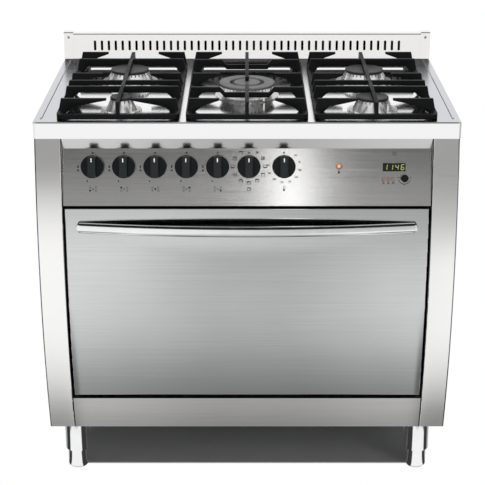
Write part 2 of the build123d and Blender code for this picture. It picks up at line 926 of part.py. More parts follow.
# Gas rail between the pillars, with a branch to the threaded inlet at the rear
inlet_start = rear_face + inlet_gap
with BuildPart() as gas_rail:
    with BuildSketch(Plane.YZ.offset(-pillar_inner)):
        with Locations((rail_y, rail_z)):
            Circle(rail_radius)
    extrude(amount=2 * pillar_inner)
    with BuildSketch(Plane.XZ.offset(-rail_y)):
        with Locations((inlet_x, rail_z)):
            Circle(rail_radius - snug)
    extrude(amount=rail_y - inlet_start)
    with BuildSketch(Plane.XZ.offset(-inlet_start)):
        with Locations((inlet_x, rail_z)):
            Circle(inlet_thread_radius)
    extrude(amount=-inlet_thread_length)
gas_rail.part.label = "gas_rail"
export_step(gas_rail.part, "parts/gas_rail.step")

# Feed pipes, each on its own level, from a tap to the bottom of a cup
cup_bottom = burner_seat - cup_depth
with BuildPart() as gas_pipes:
    for index, (x, (burner_x, burner_y)) in enumerate(zip(gas_knob_xs, burner_places)):
        start = panel_plane(x).from_local_coords((0, boss_height, -boss_setback))
        rise = pipe_first_rise + pipe_level_step * index
        turn = start + Vector(*panel_up) * (rise / cos(panel_lean))
        with BuildLine() as route:
            FilletPolyline(
                start,
                turn,
                (burner_x, burner_y, turn.Z),
                (burner_x, burner_y, cup_bottom),
                radius=pipe_bend,
            )
        with BuildSketch(Plane(origin=start, x_dir=(1, 0, 0), z_dir=panel_up)):
            Circle(pipe_radius)
        sweep()
gas_pipes.part.label = "gas_pipes"
export_step(gas_pipes.part, "parts/gas_pipes.step")

# Clock module with the guides of its buttons and knob
with BuildPart() as clock_module:
    with BuildSketch(panel_plane(clock_x).offset(-sheet)):
        Rectangle(clock_width, clock_height)
    extrude(amount=-module_depth)
    with BuildSketch(panel_plane(0).offset(-sheet)):
        with Locations(*[(x, -button_drop) for x in button_xs]):
            Circle(button_radius + snug)
    extrude(amount=-(button_length + button_travel), mode=Mode.SUBTRACT)
    with BuildSketch(panel_plane(0).offset(-sheet)):
        with Locations((clock_knob_x, -clock_knob_drop)):
            Circle(shaft_radius + snug)
    extrude(amount=-(shaft_length + rest_gap), mode=Mode.SUBTRACT)
clock_module.part.label = "clock_module"
export_step(clock_module.part, "parts/clock_module.step")

# Clock buttons
outwards = Axis((0, 0, 0), panel_out)
for number, x in enumerate(button_xs, start=1):
    with BuildPart() as clock_button:
        with BuildSketch(panel_plane(x, -button_drop).offset(-button_length)):
            Circle(button_radius)
        extrude(amount=button_length + button_proud)
        fillet(clock_button.faces().sort_by(outwards)[-1].edges(), radius=button_round)
    clock_button.part.label = f"clock_button_{number}"
    export_step(clock_button.part, f"parts/clock_button_{number}.step")

# Clock setting knob
with BuildPart() as clock_knob:
    with BuildSketch(panel_plane(clock_knob_x, -clock_knob_drop).offset(clock_knob_gap)):
        Circle(clock_knob_radius)
    extrude(amount=clock_knob_height)
    fillet(clock_knob.faces().sort_by(outwards)[-1].edges(), radius=clock_knob_round)
    with BuildSketch(panel_plane(clock_knob_x, -clock_knob_drop).offset(clock_knob_gap)):
        Circle(shaft_radius)
    extrude(amount=-(clock_knob_gap + sheet + shaft_length))
clock_knob.part.label = "clock_knob"
export_step(clock_knob.part, "parts/clock_knob.step")

# Lenses in the panel: the indicator lamp and the clock window
with BuildPart() as panel_lenses:
    with BuildSketch(panel_plane(lamp_x)):
        Circle(lamp_flange)
    extrude(amount=lamp_proud)
    fillet(panel_lenses.faces().sort_by(outwards)[-1].edges(), radius=lamp_round)
    with BuildSketch(panel_plane(lamp_x)):
        Circle(lamp_radius - rest_gap)
    extrude(amount=-lamp_stem)
    with BuildSketch(panel_plane(clock_x, -window_drop).offset(-sheet)):
        Rectangle(window_width, window_height)
    extrude(amount=sheet + window_proud)
panel_lenses.part.label = "panel_lenses"
export_step(panel_lenses.part, "parts/panel_lenses.step")

# Door skin: a curved tray, notched below for the hinge arms
pocket_half = arm_thickness / 2 + arm_side_gap + strap_thickness
with BuildPart() as door_skin:
    extrude(
        curved_band(-door_half, door_bottom, door_top, 0, skin_return), amount=2 * door_half
    )
    fillet(door_skin.faces().sort_by(Axis.Y)[0].edges(), radius=skin_edge)
    extrude(
        curved_band(
            -door_half + skin, door_bottom + skin, door_top - skin, skin, skin_return + skin
        ),
        amount=2 * (door_half - skin),
        mode=Mode.SUBTRACT,
    )
    with BuildSketch(Plane.XY.offset(door_bottom)):
        with Locations(*[(side * hinge_x, pivot_y) for side in (-1, 1)]):
            Rectangle(2 * pocket_half, 2 * strap_reach)
    extrude(amount=2 * skin, mode=Mode.SUBTRACT)
door_skin.part.label = "door_skin"
export_step(door_skin.part, "parts/door_skin.step")


def liner_outline(x, shrink, low_stop=None):
    # Section of the door liner: curved front, flat back, shallow foot below the hinge pin.
    inset = skin + skin_gap + shrink
    low = door_bottom + skin + skin_gap + shrink
    high = door_top - skin - skin_gap - shrink
    step = pivot_height + door_step + shrink
    back = liner_back - shrink
    foot = foot_back - shrink
    start = low_stop or low
    middle = (start + high) / 2
    if low_stop:
        rest = [(back, high), (back, low_stop)]
    else:
        rest = [(back, high), (back, step), (foot, step), (foot, low)]
    with BuildSketch(Plane.YZ.offset(x)) as outline:
        with BuildLine():
            curve = ThreePointArc(
                (front_y(start, inset), start),
                (front_y(middle, inset), middle),
                (front_y(high, inset), high),
            )
            Polyline(curve @ 1, *rest, curve @ 0)
        make_face()
    return outline.sketch


# Door liner: a hollow box with a window, solid round its hinge pockets
pocket_top = pivot_height + strap_height + rest_gap
hollow_half = hinge_x - pocket_half - liner_wall
column_low = pocket_top + liner_wall
column_width = liner_half - hollow_half - 2 * liner_wall
glass_half = cavity_width / 2 + glass_margin
glass_low = cavity_bottom - glass_margin
glass_high = cavity_top + glass_margin
window_middle = (glass_low + glass_high) / 2
with BuildPart() as door_liner:
    extrude(liner_outline(-liner_half, 0), amount=2 * liner_half)
    extrude(liner_outline(-hollow_half, liner_wall), amount=2 * hollow_half, mode=Mode.SUBTRACT)
    for x in (-liner_half + liner_wall, hollow_half + liner_wall):
        extrude(
            liner_outline(x, liner_wall, column_low), amount=column_width, mode=Mode.SUBTRACT
        )
    with BuildSketch(Plane.XZ.offset(-liner_back)):
        with Locations((0, window_middle)):
            Rectangle(2 * (glass_half - glass_overlap), glass_high - glass_low - 2 * glass_overlap)
    extrude(amount=2 * liner_wall, mode=Mode.SUBTRACT)
    pocket_back = liner_back + liner_wall
    pocket_front = pivot_y - strap_reach - rest_gap
    with BuildSketch(Plane.XY.offset(door_bottom)):
        with Locations(*[(side * hinge_x, (pocket_front + pocket_back) / 2) for side in (-1, 1)]):
            Rectangle(2 * pocket_half, pocket_back - pocket_front)
    extrude(amount=pocket_top - door_bottom, mode=Mode.SUBTRACT)
door_liner.part.label = "door_liner"
export_step(door_liner.part, "parts/door_liner.step")

# Inner glass of the door
with BuildPart() as door_glass:
    with BuildSketch(Plane.XZ.offset(-door_back)):
        with Locations((0, window_middle)):
            RectangleRounded(2 * glass_half, glass_high - glass_low, glass_thickness)
    extrude(amount=glass_thickness)
door_glass.part.label = "door_glass"
export_step(door_glass.part, "parts/door_glass.step")

# Bowed door handle, seated on the curved skin at both ends
handle_face = front_y(handle_height)
with BuildPart() as door_handle:
    with BuildLine() as bow:
        ThreePointArc(
            (-handle_half, handle_face - handle_stand, handle_height),
            (0, handle_face - handle_reach, handle_height),
            (handle_half, handle_face - handle_stand, handle_height),
        )
    with BuildSketch(Plane(origin=bow.line @ 0, z_dir=bow.line % 0)):
        Circle(handle_radius)
    sweep()
    fillet(door_handle.edges().filter_by(GeomType.CIRCLE).group_by(Axis.X)[0], radius=handle_tip)
    fillet(door_handle.edges().filter_by(GeomType.CIRCLE).group_by(Axis.X)[-1], radius=handle_tip)
    extrude(
        front_outline(-door_half, door_bottom, door_top, -handle_seat, pivot_y),
        amount=2 * door_half,
        mode=Mode.SUBTRACT,
    )
door_handle.part.label = "door_handle"
export_step(door_handle.part, "parts/door_handle.step")

# Hinge arms on the oven front
with BuildPart() as hinge_arms:
    for side in (-1, 1):
        with BuildSketch(Plane.YZ.offset(side * hinge_x - arm_thickness / 2)):
            with Locations((pivot_y, pivot_height)):
                Circle(arm_eye)
            with Locations(((pivot_y + oven_front) / 2, pivot_height)):
                Rectangle(oven_front - pivot_y, arm_height)
            with Locations((pivot_y, pivot_height)):
                Circle(pin_radius + snug, mode=Mode.SUBTRACT)
        extrude(amount=arm_thickness)
hinge_arms.part.label = "hinge_arms"
export_step(hinge_arms.part, "parts/hinge_arms.step")

# Hinge straps in the door, each with its pin
strap_low = pivot_height - strap_reach
strap_high = pivot_height + strap_height
cheek_shift = arm_thickness / 2 + arm_side_gap
with BuildPart() as hinge_straps:
    for side in (-1, 1):
        for x in (side * hinge_x - pocket_half, side * hinge_x + cheek_shift):
            with BuildSketch(Plane.YZ.offset(x)):
                with Locations((pivot_y, (strap_low + strap_high) / 2)):
                    Rectangle(2 * strap_reach, strap_high - strap_low)
            extrude(amount=strap_thickness)
        with BuildSketch(Plane.YZ.offset(side * hinge_x - pocket_half)):
            with Locations((pivot_y, strap_high - strap_web / 2)):
                Rectangle(2 * strap_reach, strap_web)
            with Locations((pivot_y, pivot_height)):
                Circle(pin_radius)
        extrude(amount=2 * pocket_half)
hinge_straps.part.label = "hinge_straps"
export_step(hinge_straps.part, "parts/hinge_straps.step")

# Oven liner: front frame, cavity and pressed runners
runner_front = oven_front + 2 * runner_reach
runner_back = cavity_back - 2 * runner_reach
runner_zs = [cavity_bottom + runner_first + runner_pitch * i for i in range(runner_count)]
with BuildPart() as oven_liner:
    with BuildSketch(Plane.XZ.offset(-oven_front)):
        with Locations((0, (plinth_top + panel_bottom) / 2)):
            Rectangle(2 * pillar_inner, panel_bottom - plinth_top)
    extrude(amount=-liner_sheet)
    with BuildSketch(Plane.XZ.offset(-oven_front)):
        with Locations((0, cavity_middle)):
            Rectangle(cavity_width + 2 * liner_sheet, cavity_height + 2 * liner_sheet)
    extrude(amount=oven_front - cavity_back - liner_sheet)
    with BuildSketch(Plane.XZ.offset(-oven_front)):
        with Locations((0, cavity_middle)):
            Rectangle(cavity_width, cavity_height)
    extrude(amount=oven_front - cavity_back, mode=Mode.SUBTRACT)
    for side in (-1, 1):
        runner_x = side * (cavity_width - runner_reach + liner_sheet) / 2
        with BuildSketch(Plane.XZ.offset(-runner_front)):
            with Locations(*[(runner_x, z) for z in runner_zs]):
                Rectangle(runner_reach + liner_sheet, runner_height)
        extrude(amount=runner_front - runner_back)
    with BuildSketch(fan_plane):
        Circle(fan_shaft_hole)
    extrude(amount=-liner_sheet, mode=Mode.SUBTRACT)
oven_liner.part.label = "oven_liner"
export_step(oven_liner.part, "parts/oven_liner.step")

# Insulation jacket round the cavity
jacket_front = oven_front + liner_sheet
jacket_back = cavity_back + liner_sheet + jacket
with BuildPart() as oven_jacket:
    with BuildSketch(Plane.XZ.offset(-jacket_front)):
        with Locations((0, cavity_middle)):
            Rectangle(
                cavity_width + 2 * (liner_sheet + jacket), cavity_height + 2 * (liner_sheet + jacket)
            )
    extrude(amount=jacket_front - jacket_back)
    with BuildSketch(Plane.XZ.offset(-jacket_front)):
        with Locations((0, cavity_middle)):
            Rectangle(cavity_width + 2 * liner_sheet, cavity_height + 2 * liner_sheet)
    extrude(amount=jacket_front - jacket_back + jacket, mode=Mode.SUBTRACT)
    with BuildSketch(fan_plane):
        Circle(fan_shaft_hole)
    extrude(amount=-2 * jacket, mode=Mode.SUBTRACT)
oven_jacket.part.label = "oven_jacket"
export_step(oven_jacket.part, "parts/oven_jacket.step")

# Door seal round the mouth of the oven
seal_inner_width = cavity_width + 2 * seal_margin
seal_inner_height = cavity_height + 2 * seal_margin
with BuildPart() as door_seal:
    with BuildSketch(Plane.XZ.offset(-oven_front)):
        with Locations((0, cavity_middle)):
            RectangleRounded(
                seal_inner_width + 2 * seal_width, seal_inner_height + 2 * seal_width, seal_corner
            )
            RectangleRounded(
                seal_inner_width,
                seal_inner_height,
                seal_corner - seal_width,
                mode=Mode.SUBTRACT,
            )
    extrude(amount=seal_space - rest_gap)
door_seal.part.label = "door_seal"
export_step(door_seal.part, "parts/door_seal.step")

# Wire shelf on the middle runners
shelf_z = runner_zs[shelf_runner] + runner_height / 2 + shelf_rod + snug
shelf_half = cavity_width / 2 - shelf_gap - shelf_rod
shelf_front = runner_front + shelf_rod
shelf_back = cavity_back - fan_cover_depth - 2 * shelf_rod
wire_pitch = 2 * shelf_half / (shelf_wire_count + 1)
with BuildPart() as oven_shelf:
    with BuildSketch(Plane.XZ.offset(-shelf_front)):
        with Locations((-shelf_half, shelf_z), (shelf_half, shelf_z)):
            Circle(shelf_rod)
        with Locations((0, shelf_z)):
            with GridLocations(wire_pitch, 1, shelf_wire_count, 1):
                Circle(shelf_wire)
    extrude(amount=shelf_front - shelf_back)
    with BuildSketch(Plane.YZ.offset(-shelf_half)):
        with Locations((shelf_front + shelf_rod, shelf_z), (shelf_back - shelf_rod, shelf_z)):
            Circle(shelf_rod - rest_gap)
    extrude(amount=2 * shelf_half)
oven_shelf.part.label = "oven_shelf"
export_step(oven_shelf.part, "parts/oven_shelf.step")

# Heating elements: a hairpin above, one below, and a ring round the fan
with BuildPart() as heating_elements:
    for z in (cavity_top - element_inset, cavity_bottom + element_inset):
        element_start = oven_front + element_front
        with BuildLine() as hairpin:
            FilletPolyline(
                (-element_half_width, cavity_back, z),
                (-element_half_width, element_start, z),
                (element_half_width, element_start, z),
                (element_half_width, cavity_back, z),
                radius=element_bend,
            )
        with BuildSketch(Plane(origin=hairpin.line @ 0, z_dir=hairpin.line % 0)):
            Circle(element_radius)
        sweep()
    ring_height = fan_gap + fan_plate + fan_blade_depth / 2
    with Locations(fan_plane.offset(ring_height)):
        Torus(ring_radius, element_radius)
    with BuildSketch(fan_plane):
        with PolarLocations(ring_radius, 2, 90 - ring_lead_angle, 2 * ring_lead_angle):
            Circle(element_radius - rest_gap)
    extrude(amount=ring_height)
heating_elements.part.label = "heating_elements"
export_step(heating_elements.part, "parts/heating_elements.step")

# Oven fan and its shaft
with BuildPart() as oven_fan:
    with BuildSketch(fan_plane.offset(fan_gap)):
        Circle(fan_radius)
    extrude(amount=fan_plate)
    with BuildSketch(fan_plane.offset(fan_gap)):
        Circle(fan_hub)
    extrude(amount=fan_plate + fan_blade_depth)
    with BuildSketch(fan_plane.offset(fan_gap + fan_plate)):
        with PolarLocations((fan_radius + fan_hub - fan_plate) / 2, fan_blade_count):
            Rectangle(fan_radius - fan_hub, fan_blade_thickness)
    extrude(amount=fan_blade_depth)
    with BuildSketch(fan_plane.offset(fan_gap)):
        Circle(fan_shaft)
    extrude(amount=-(fan_gap + liner_sheet + jacket + motor_socket - rest_gap))
oven_fan.part.label = "oven_fan"
export_step(oven_fan.part, "parts/oven_fan.step")

# Fan motor behind the jacket
with BuildPart() as fan_motor:
    with BuildSketch(fan_plane.offset(-(liner_sheet + jacket))):
        Circle(motor_radius)
    extrude(amount=-motor_length)
    with BuildSketch(fan_plane.offset(-(liner_sheet + jacket))):
        Circle(fan_shaft + snug)
    extrude(amount=-motor_socket, mode=Mode.SUBTRACT)
fan_motor.part.label = "fan_motor"
export_step(fan_motor.part, "parts/fan_motor.step")

# Fan cover, a shallow tray with slots in a ring
with BuildPart() as fan_cover:
    with BuildSketch(fan_plane):
        Rectangle(fan_cover_size, fan_cover_size)
    extrude(amount=fan_cover_depth)
    with BuildSketch(fan_plane):
        Rectangle(fan_cover_size - 2 * sheet, fan_cover_size - 2 * sheet)
    extrude(amount=fan_cover_depth - sheet, mode=Mode.SUBTRACT)
    with BuildSketch(fan_plane.offset(fan_cover_depth)):
        with PolarLocations((fan_radius + fan_hub) / 2 + fan_cover_slot, fan_cover_slot_count):
            SlotOverall(fan_radius - fan_hub, fan_cover_slot)
    extrude(amount=-2 * sheet, mode=Mode.SUBTRACT)
fan_cover.part.label = "fan_cover"
export_step(fan_cover.part, "parts/fan_cover.step")

# Oven lamp glass
with BuildPart() as oven_lamp:
    with BuildSketch(fan_plane):
        with Locations((oven_lamp_x, oven_lamp_rise)):
            Circle(oven_lamp_radius)
    extrude(amount=oven_lamp_depth)
    fillet(oven_lamp.faces().sort_by(Axis.Y)[0].edges(), radius=oven_lamp_depth / 2)
oven_lamp.part.label = "oven_lamp"
export_step(oven_lamp.part, "parts/oven_lamp.step")

# Leg sleeves under the body
with BuildPart() as leg_sleeves:
    with BuildSketch(Plane.XY.offset(body_bottom)):
        with Locations(*leg_places):
            Circle(leg_radius)
    extrude(amount=leg_end - body_bottom)
    chamfer(leg_sleeves.faces().group_by(Axis.Z)[0].edges(), length=leg_taper_in, length2=leg_taper)
    with BuildSketch(Plane.XY.offset(leg_end)):
        with Locations(*leg_places):
            Circle(foot_radius + snug)
    extrude(amount=body_bottom - leg_roof - leg_end, mode=Mode.SUBTRACT)
leg_sleeves.part.label = "leg_sleeves"
export_step(leg_sleeves.part, "parts/leg_sleeves.step")

# Adjustable feet
for leg_name, place in zip(leg_names, leg_places):
    with BuildPart() as foot:
        with BuildSketch(Plane.XY):
            with Locations(place):
                Circle(foot_radius)
        extrude(amount=body_bottom - leg_roof - foot_room)
        fillet(foot.faces().sort_by(Axis.Z)[0].edges(), radius=foot_round)
    foot.part.label = f"foot_{leg_name}"
    export_step(foot.part, f"parts/foot_{leg_name}.step")

# Rear panel with vents, screw holes and the hole of the gas inlet
vent_pitch = 2 * (body_half - vent_margin) / (vent_count - 1)
screw_x = body_half - sheet - screw_margin
screw_span = worktop_under - body_bottom - 2 * screw_margin - 2 * base_rim
rear_middle = (body_bottom + worktop_under) / 2
screw_zs = [rear_middle + screw_span * (i / (screw_rows - 1) - 0.5) for i in range(screw_rows)]
screw_places = [(side * screw_x, z) for side in (-1, 1) for z in screw_zs]
with BuildPart() as rear_panel:
    with BuildSketch(Plane.XZ.offset(-rear_face)):
        with Locations((0, rear_middle)):
            Rectangle(2 * (body_half - sheet), worktop_under - body_bottom)
        with Locations((0, worktop_under - vent_drop)):
            with GridLocations(vent_pitch, 1, vent_count, 1):
                SlotOverall(vent_height, vent_width, rotation=90, mode=Mode.SUBTRACT)
        with Locations(*screw_places):
            Circle(screw_shank + snug, mode=Mode.SUBTRACT)
        with Locations((inlet_x, rail_z)):
            Circle(rail_radius + inlet_hole_gap, mode=Mode.SUBTRACT)
    extrude(amount=sheet)
rear_panel.part.label = "rear_panel"
export_step(rear_panel.part, "parts/rear_panel.step")

# Terminal box with its cable gland
with BuildPart() as terminal_box:
    with BuildSketch(Plane.XZ.offset(-rear_face)):
        with Locations((box_x, box_height)):
            Rectangle(box_width, box_tall)
    extrude(amount=-box_deep)
    with BuildSketch(Plane.XZ.offset(-rear_face)):
        with Locations((box_x, box_height)):
            Rectangle(box_width - 2 * box_wall, box_tall - 2 * box_wall)
    extrude(amount=box_wall - box_deep, mode=Mode.SUBTRACT)
    with BuildSketch(Plane.XZ.offset(-rear_face)):
        with Locations((box_x, box_height)):
            Circle(gland_radius)
    extrude(amount=-(box_deep + gland_length))
    with BuildSketch(Plane.XZ.offset(-rear_face)):
        with Locations((box_x, box_height)):
            Circle(gland_bore)
    extrude(amount=-(box_deep + gland_length), mode=Mode.SUBTRACT)
terminal_box.part.label = "terminal_box"
export_step(terminal_box.part, "parts/terminal_box.step")

# Screws of the rear panel and rivets of the end caps
with BuildPart() as fasteners:
    with BuildSketch(Plane.XZ.offset(-rear_face)):
        with Locations(*screw_places):
            Circle(screw_head)
    extrude(amount=-screw_head_height)
    fillet(fasteners.faces().group_by(Axis.Y)[-1].edges(), radius=screw_head_height / 2)
    with BuildSketch(Plane.XZ.offset(-rear_face)):
        with Locations(*screw_places):
            Circle(screw_shank)
    extrude(amount=screw_length)
    with BuildSketch(Plane.XZ.offset(-cap_front)):
        with Locations(*[(x, worktop_height + rivet_rise) for x in cap_centres]):
            Circle(rivet_head)
    extrude(amount=rivet_dome)
    with BuildSketch(Plane.XZ.offset(-cap_front)):
        with Locations(*[(x, worktop_height + rivet_rise) for x in cap_centres]):
            Circle(rivet_shank)
    extrude(amount=-2 * sheet)
fasteners.part.label = "fasteners"
export_step(fasteners.part, "parts/fasteners.step")
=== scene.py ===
import json
import math

import bmesh
import bpy
from mathutils import Matrix, Vector


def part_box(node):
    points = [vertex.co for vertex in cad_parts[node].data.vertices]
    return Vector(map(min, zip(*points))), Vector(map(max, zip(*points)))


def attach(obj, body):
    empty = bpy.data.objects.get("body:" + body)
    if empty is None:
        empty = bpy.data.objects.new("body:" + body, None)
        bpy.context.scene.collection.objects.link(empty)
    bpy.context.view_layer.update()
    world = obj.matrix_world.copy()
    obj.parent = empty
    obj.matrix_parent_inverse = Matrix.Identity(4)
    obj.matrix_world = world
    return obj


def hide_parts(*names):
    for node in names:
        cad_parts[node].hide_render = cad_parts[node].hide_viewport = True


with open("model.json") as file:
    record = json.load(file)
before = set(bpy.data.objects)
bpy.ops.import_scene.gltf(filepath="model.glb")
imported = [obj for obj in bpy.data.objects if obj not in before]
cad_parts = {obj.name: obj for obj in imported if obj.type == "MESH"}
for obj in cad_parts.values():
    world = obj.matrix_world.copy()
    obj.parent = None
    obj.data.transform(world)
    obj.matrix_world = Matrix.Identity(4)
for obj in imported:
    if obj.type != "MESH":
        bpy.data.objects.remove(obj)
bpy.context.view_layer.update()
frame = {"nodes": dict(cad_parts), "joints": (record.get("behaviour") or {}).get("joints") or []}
nodes = frame["nodes"]
joints = {joint["name"]: joint for joint in frame["joints"]}
scene = bpy.context.scene

# The sloping panel's own axes: across, up along the face, and out of it
rowJoint = joints["gas_turn_1"]
panelOut = Vector(rowJoint["axis"]).normalized()
panelAcross = Vector((1, 0, 0))
panelUp = panelOut.cross(panelAcross)
panelRow = Vector((0, rowJoint["pos_m"][1], rowJoint["pos_m"][2]))


def onPanel(x, up, out=0.0):
    return panelRow + panelAcross * x + panelUp * up + panelOut * out


def added(name, data):
    piece = bpy.data.objects.new(name, data)
    scene.collection.objects.link(piece)
    return piece


def meshFrom(shape, name):
    mesh = bpy.data.meshes.new(name)
    shape.to_mesh(mesh)
    shape.free()
    return mesh


def feed(tree, socket, item):
    # an item is another node's output or a plain value
    if isinstance(item, bpy.types.NodeSocket):
        tree.links.new(item, socket)
    else:
        socket.default_value = item


def wire(tree, node, **sockets):
    for name, item in sockets.items():
        feed(tree, node.inputs[name.replace("_", " ")], item)
    return node


def addNode(tree, kind, **sockets):
    return wire(tree, tree.nodes.new(kind), **sockets)


def startFinish(name, **sockets):
    finish = bpy.data.materials.new(name)
    finish.use_nodes = True
    tree = finish.node_tree
    return finish, tree, wire(tree, tree.nodes["Principled BSDF"], **sockets)


def objectPlace(tree):
    return tree.nodes.new("ShaderNodeTexCoord").outputs["Object"]


def grainNoise(tree, stretch, detail, roughness=0.55):
    # noise in metres of the object's own frame, stretched per axis
    place = addNode(tree, "ShaderNodeMapping", Vector=objectPlace(tree), Scale=stretch).outputs["Vector"]
    noise = addNode(tree, "ShaderNodeTexNoise", Vector=place, Scale=1.0, Detail=detail, Roughness=roughness)
    return noise.outputs["Fac"]


def ramped(tree, factor, stops):
    ramp = addNode(tree, "ShaderNodeValToRGB", Fac=factor)
    marks = ramp.color_ramp.elements
    while len(marks) < len(stops):
        marks.new(0.5)
    for mark, (place, tone) in zip(marks, stops):
        mark.position = place
        mark.color = (*tone, 1)
    return ramp.outputs["Color"]


def toned(tree, factor, dark, pale, start=0.3, end=0.7):
    return ramped(tree, factor, ((start, dark), (end, pale)))


def ranged(tree, factor, low, high, start=0.3, end=0.7):
    node = addNode(tree, "ShaderNodeMapRange", Value=factor, From_Min=start, From_Max=end,
                   To_Min=low, To_Max=high)
    return node.outputs["Result"]


def bumped(tree, shader, factor, strength, distance):
    bump = addNode(tree, "ShaderNodeBump", Height=factor, Strength=strength, Distance=distance)
    tree.links.new(bump.outputs["Normal"], shader.inputs["Normal"])
    return bump


def leaned(tree, height):
    # a height in metres, given to the shading only
    return addNode(tree, "ShaderNodeBump", Height=height, Strength=1.0, Distance=1.0).outputs["Normal"]


def placeOf(tree, source, axis):
    coords = tree.nodes.new("ShaderNodeTexCoord")
    return addNode(tree, "ShaderNodeSeparateXYZ", Vector=coords.outputs[source]).outputs[axis]


def times(tree, first, second):
    return worked(tree, "MULTIPLY", first, second)


def lengthOf(tree, first, second):
    return worked(tree, "SQRT", worked(tree, "ADD", times(tree, first, first), times(tree, second, second)))


def below(tree, value, limit):
    return worked(tree, "LESS_THAN", value, limit)


def offMiddle(tree):
    # distance from the stove's middle plane
    return worked(tree, "ABSOLUTE", placeOf(tree, "Object", "X"))


def vectorWorked(tree, operation, first, second=None):
    node = tree.nodes.new("ShaderNodeVectorMath")
    node.operation = operation
    tree.links.new(first, node.inputs[0])
    if second is not None:
        node.inputs[1].default_value = second
    return node.outputs["Value" if operation in ("LENGTH", "DISTANCE", "DOT_PRODUCT") else "Vector"]


def alongAxis(tree, axis):
    # how far a point lies along an axis of the object's own frame
    return vectorWorked(tree, "DOT_PRODUCT", objectPlace(tree), axis)


def stepAt(tree, value, edge, soft):
    # nought below the edge and one above it
    return ranged(tree, value, 0.0, 1.0, edge - soft, edge + soft)


def worked(tree, operation, *items):
    node = tree.nodes.new("ShaderNodeMath")
    node.operation = operation
    for socket, item in zip(node.inputs, items):
        feed(tree, socket, item)
    return node.outputs["Value"]


def mixed(tree, factor, first, second, kind="RGBA"):
    node = tree.nodes.new("ShaderNodeMix")
    node.data_type = kind
    tree.links.new(factor, node.inputs["Factor"])
    sockets, result = {"RGBA": ((6, 7), 2), "FLOAT": ((2, 3), 0)}[kind]
    for number, item in zip(sockets, (first, second)):
        feed(tree, node.inputs[number], item)
    return node.outputs[result]


def darker(tone, share):
    return (*(share * part for part in tone[:3]), 1)


# Sheet steels: brushing along X, so highlights spread up and down. The stainless parts are one steel given
# paler or darker tones part by part, lit and shaded copies as painted light and shade
steelLooks = {
    "pillarSteel": {"dark": (0.95, 0.945, 0.93), "pale": (0.985, 0.98, 0.97), "rough": (0.15, 0.20),
                    "spread": 0.30, "bump": 0.03, "grain": (5, 900, 900),
                    "edge": (0.0022, 0.4452), "edgeShadeTone": (0.14, 0.14, 0.135, 1), "foot": (0.53, 17.5)},
    "plinthSteel": {"dark": (0.59, 0.585, 0.575), "pale": (0.66, 0.655, 0.645), "rough": (0.15, 0.20),
                    "spread": 0.30, "bump": 0.03, "grain": (5, 900, 900), "foot": (0.53, 17.5)},
    "panelSteel": {"dark": (0.68, 0.675, 0.66), "pale": (0.80, 0.795, 0.78), "rough": (0.15, 0.20),
                   "spread": 0.45, "bump": 0.04, "grain": (5, 900, 900),
                   "ledge": 0.787, "ledgeTone": (0.66, 0.655, 0.645, 1), "ledgeRough": 0.22,
                   "ledgeLean": 22.0, "bulge": (0.735, 1.0)},
    "doorSteel": {"dark": (0.60, 0.61, 0.61), "pale": (0.68, 0.69, 0.69), "rough": (0.05, 0.08),
                  "spread": 0.30, "bump": 0.01, "grain": (4, 1100, 1100)},
    "hobSteel": {"dark": (0.86, 0.86, 0.86), "pale": (0.94, 0.94, 0.94), "rough": (0.07, 0.12),
                 "spread": 0.25, "bump": 0.01, "grain": (4, 1000, 1000),
                 "border": 0.8492, "borderTone": (0.66, 0.67, 0.70, 1), "borderRough": 0.26,
                 "strips": (0.11, 0.17), "reflectedStripTone": (0.97, 0.97, 0.97, 1),
                 "lip": 0.9, "lipTone": (0.93, 0.93, 0.93, 1), "lipRough": 0.12, "lean": -28.0},
    "upstandSteel": {"dark": (0.88, 0.87, 0.855), "pale": (0.95, 0.94, 0.925), "rough": (0.17, 0.23),
                     "spread": 0.10, "bump": 0.03, "grain": (5, 900, 900), "lean": -26.0,
                     "inside": 0.0020, "slots": 0.40, "insideTone": (0.02, 0.02, 0.02, 1)},
    "sideSteel": {"dark": (0.66, 0.66, 0.64), "pale": (0.76, 0.76, 0.74), "rough": (0.26, 0.34),
                  "spread": 0.35, "bump": 0.05, "grain": (900, 5, 900)},
    "zincSheet": {"dark": (0.50, 0.51, 0.52), "pale": (0.68, 0.69, 0.70), "rough": (0.38, 0.52),
                  "spread": 0.0, "bump": 0.05, "grain": (55, 55, 55)},
}


brushLook = {"clouds": (7, 7, 7), "cloudShare": 0.35, "span": (0.45, 0.9), "depth": 0.0003,
             "lineDetail": 4.0, "cloudDetail": 2.0, "borderDark": 0.92, "borderSoft": 0.0002,
             "stripSoft": 0.001, "ledgeSoft": 0.0005, "sideFace": 0.93, "foldSoft": 0.0004,
             "insideSoft": 0.0003, "upward": (0.5, 0.1)}


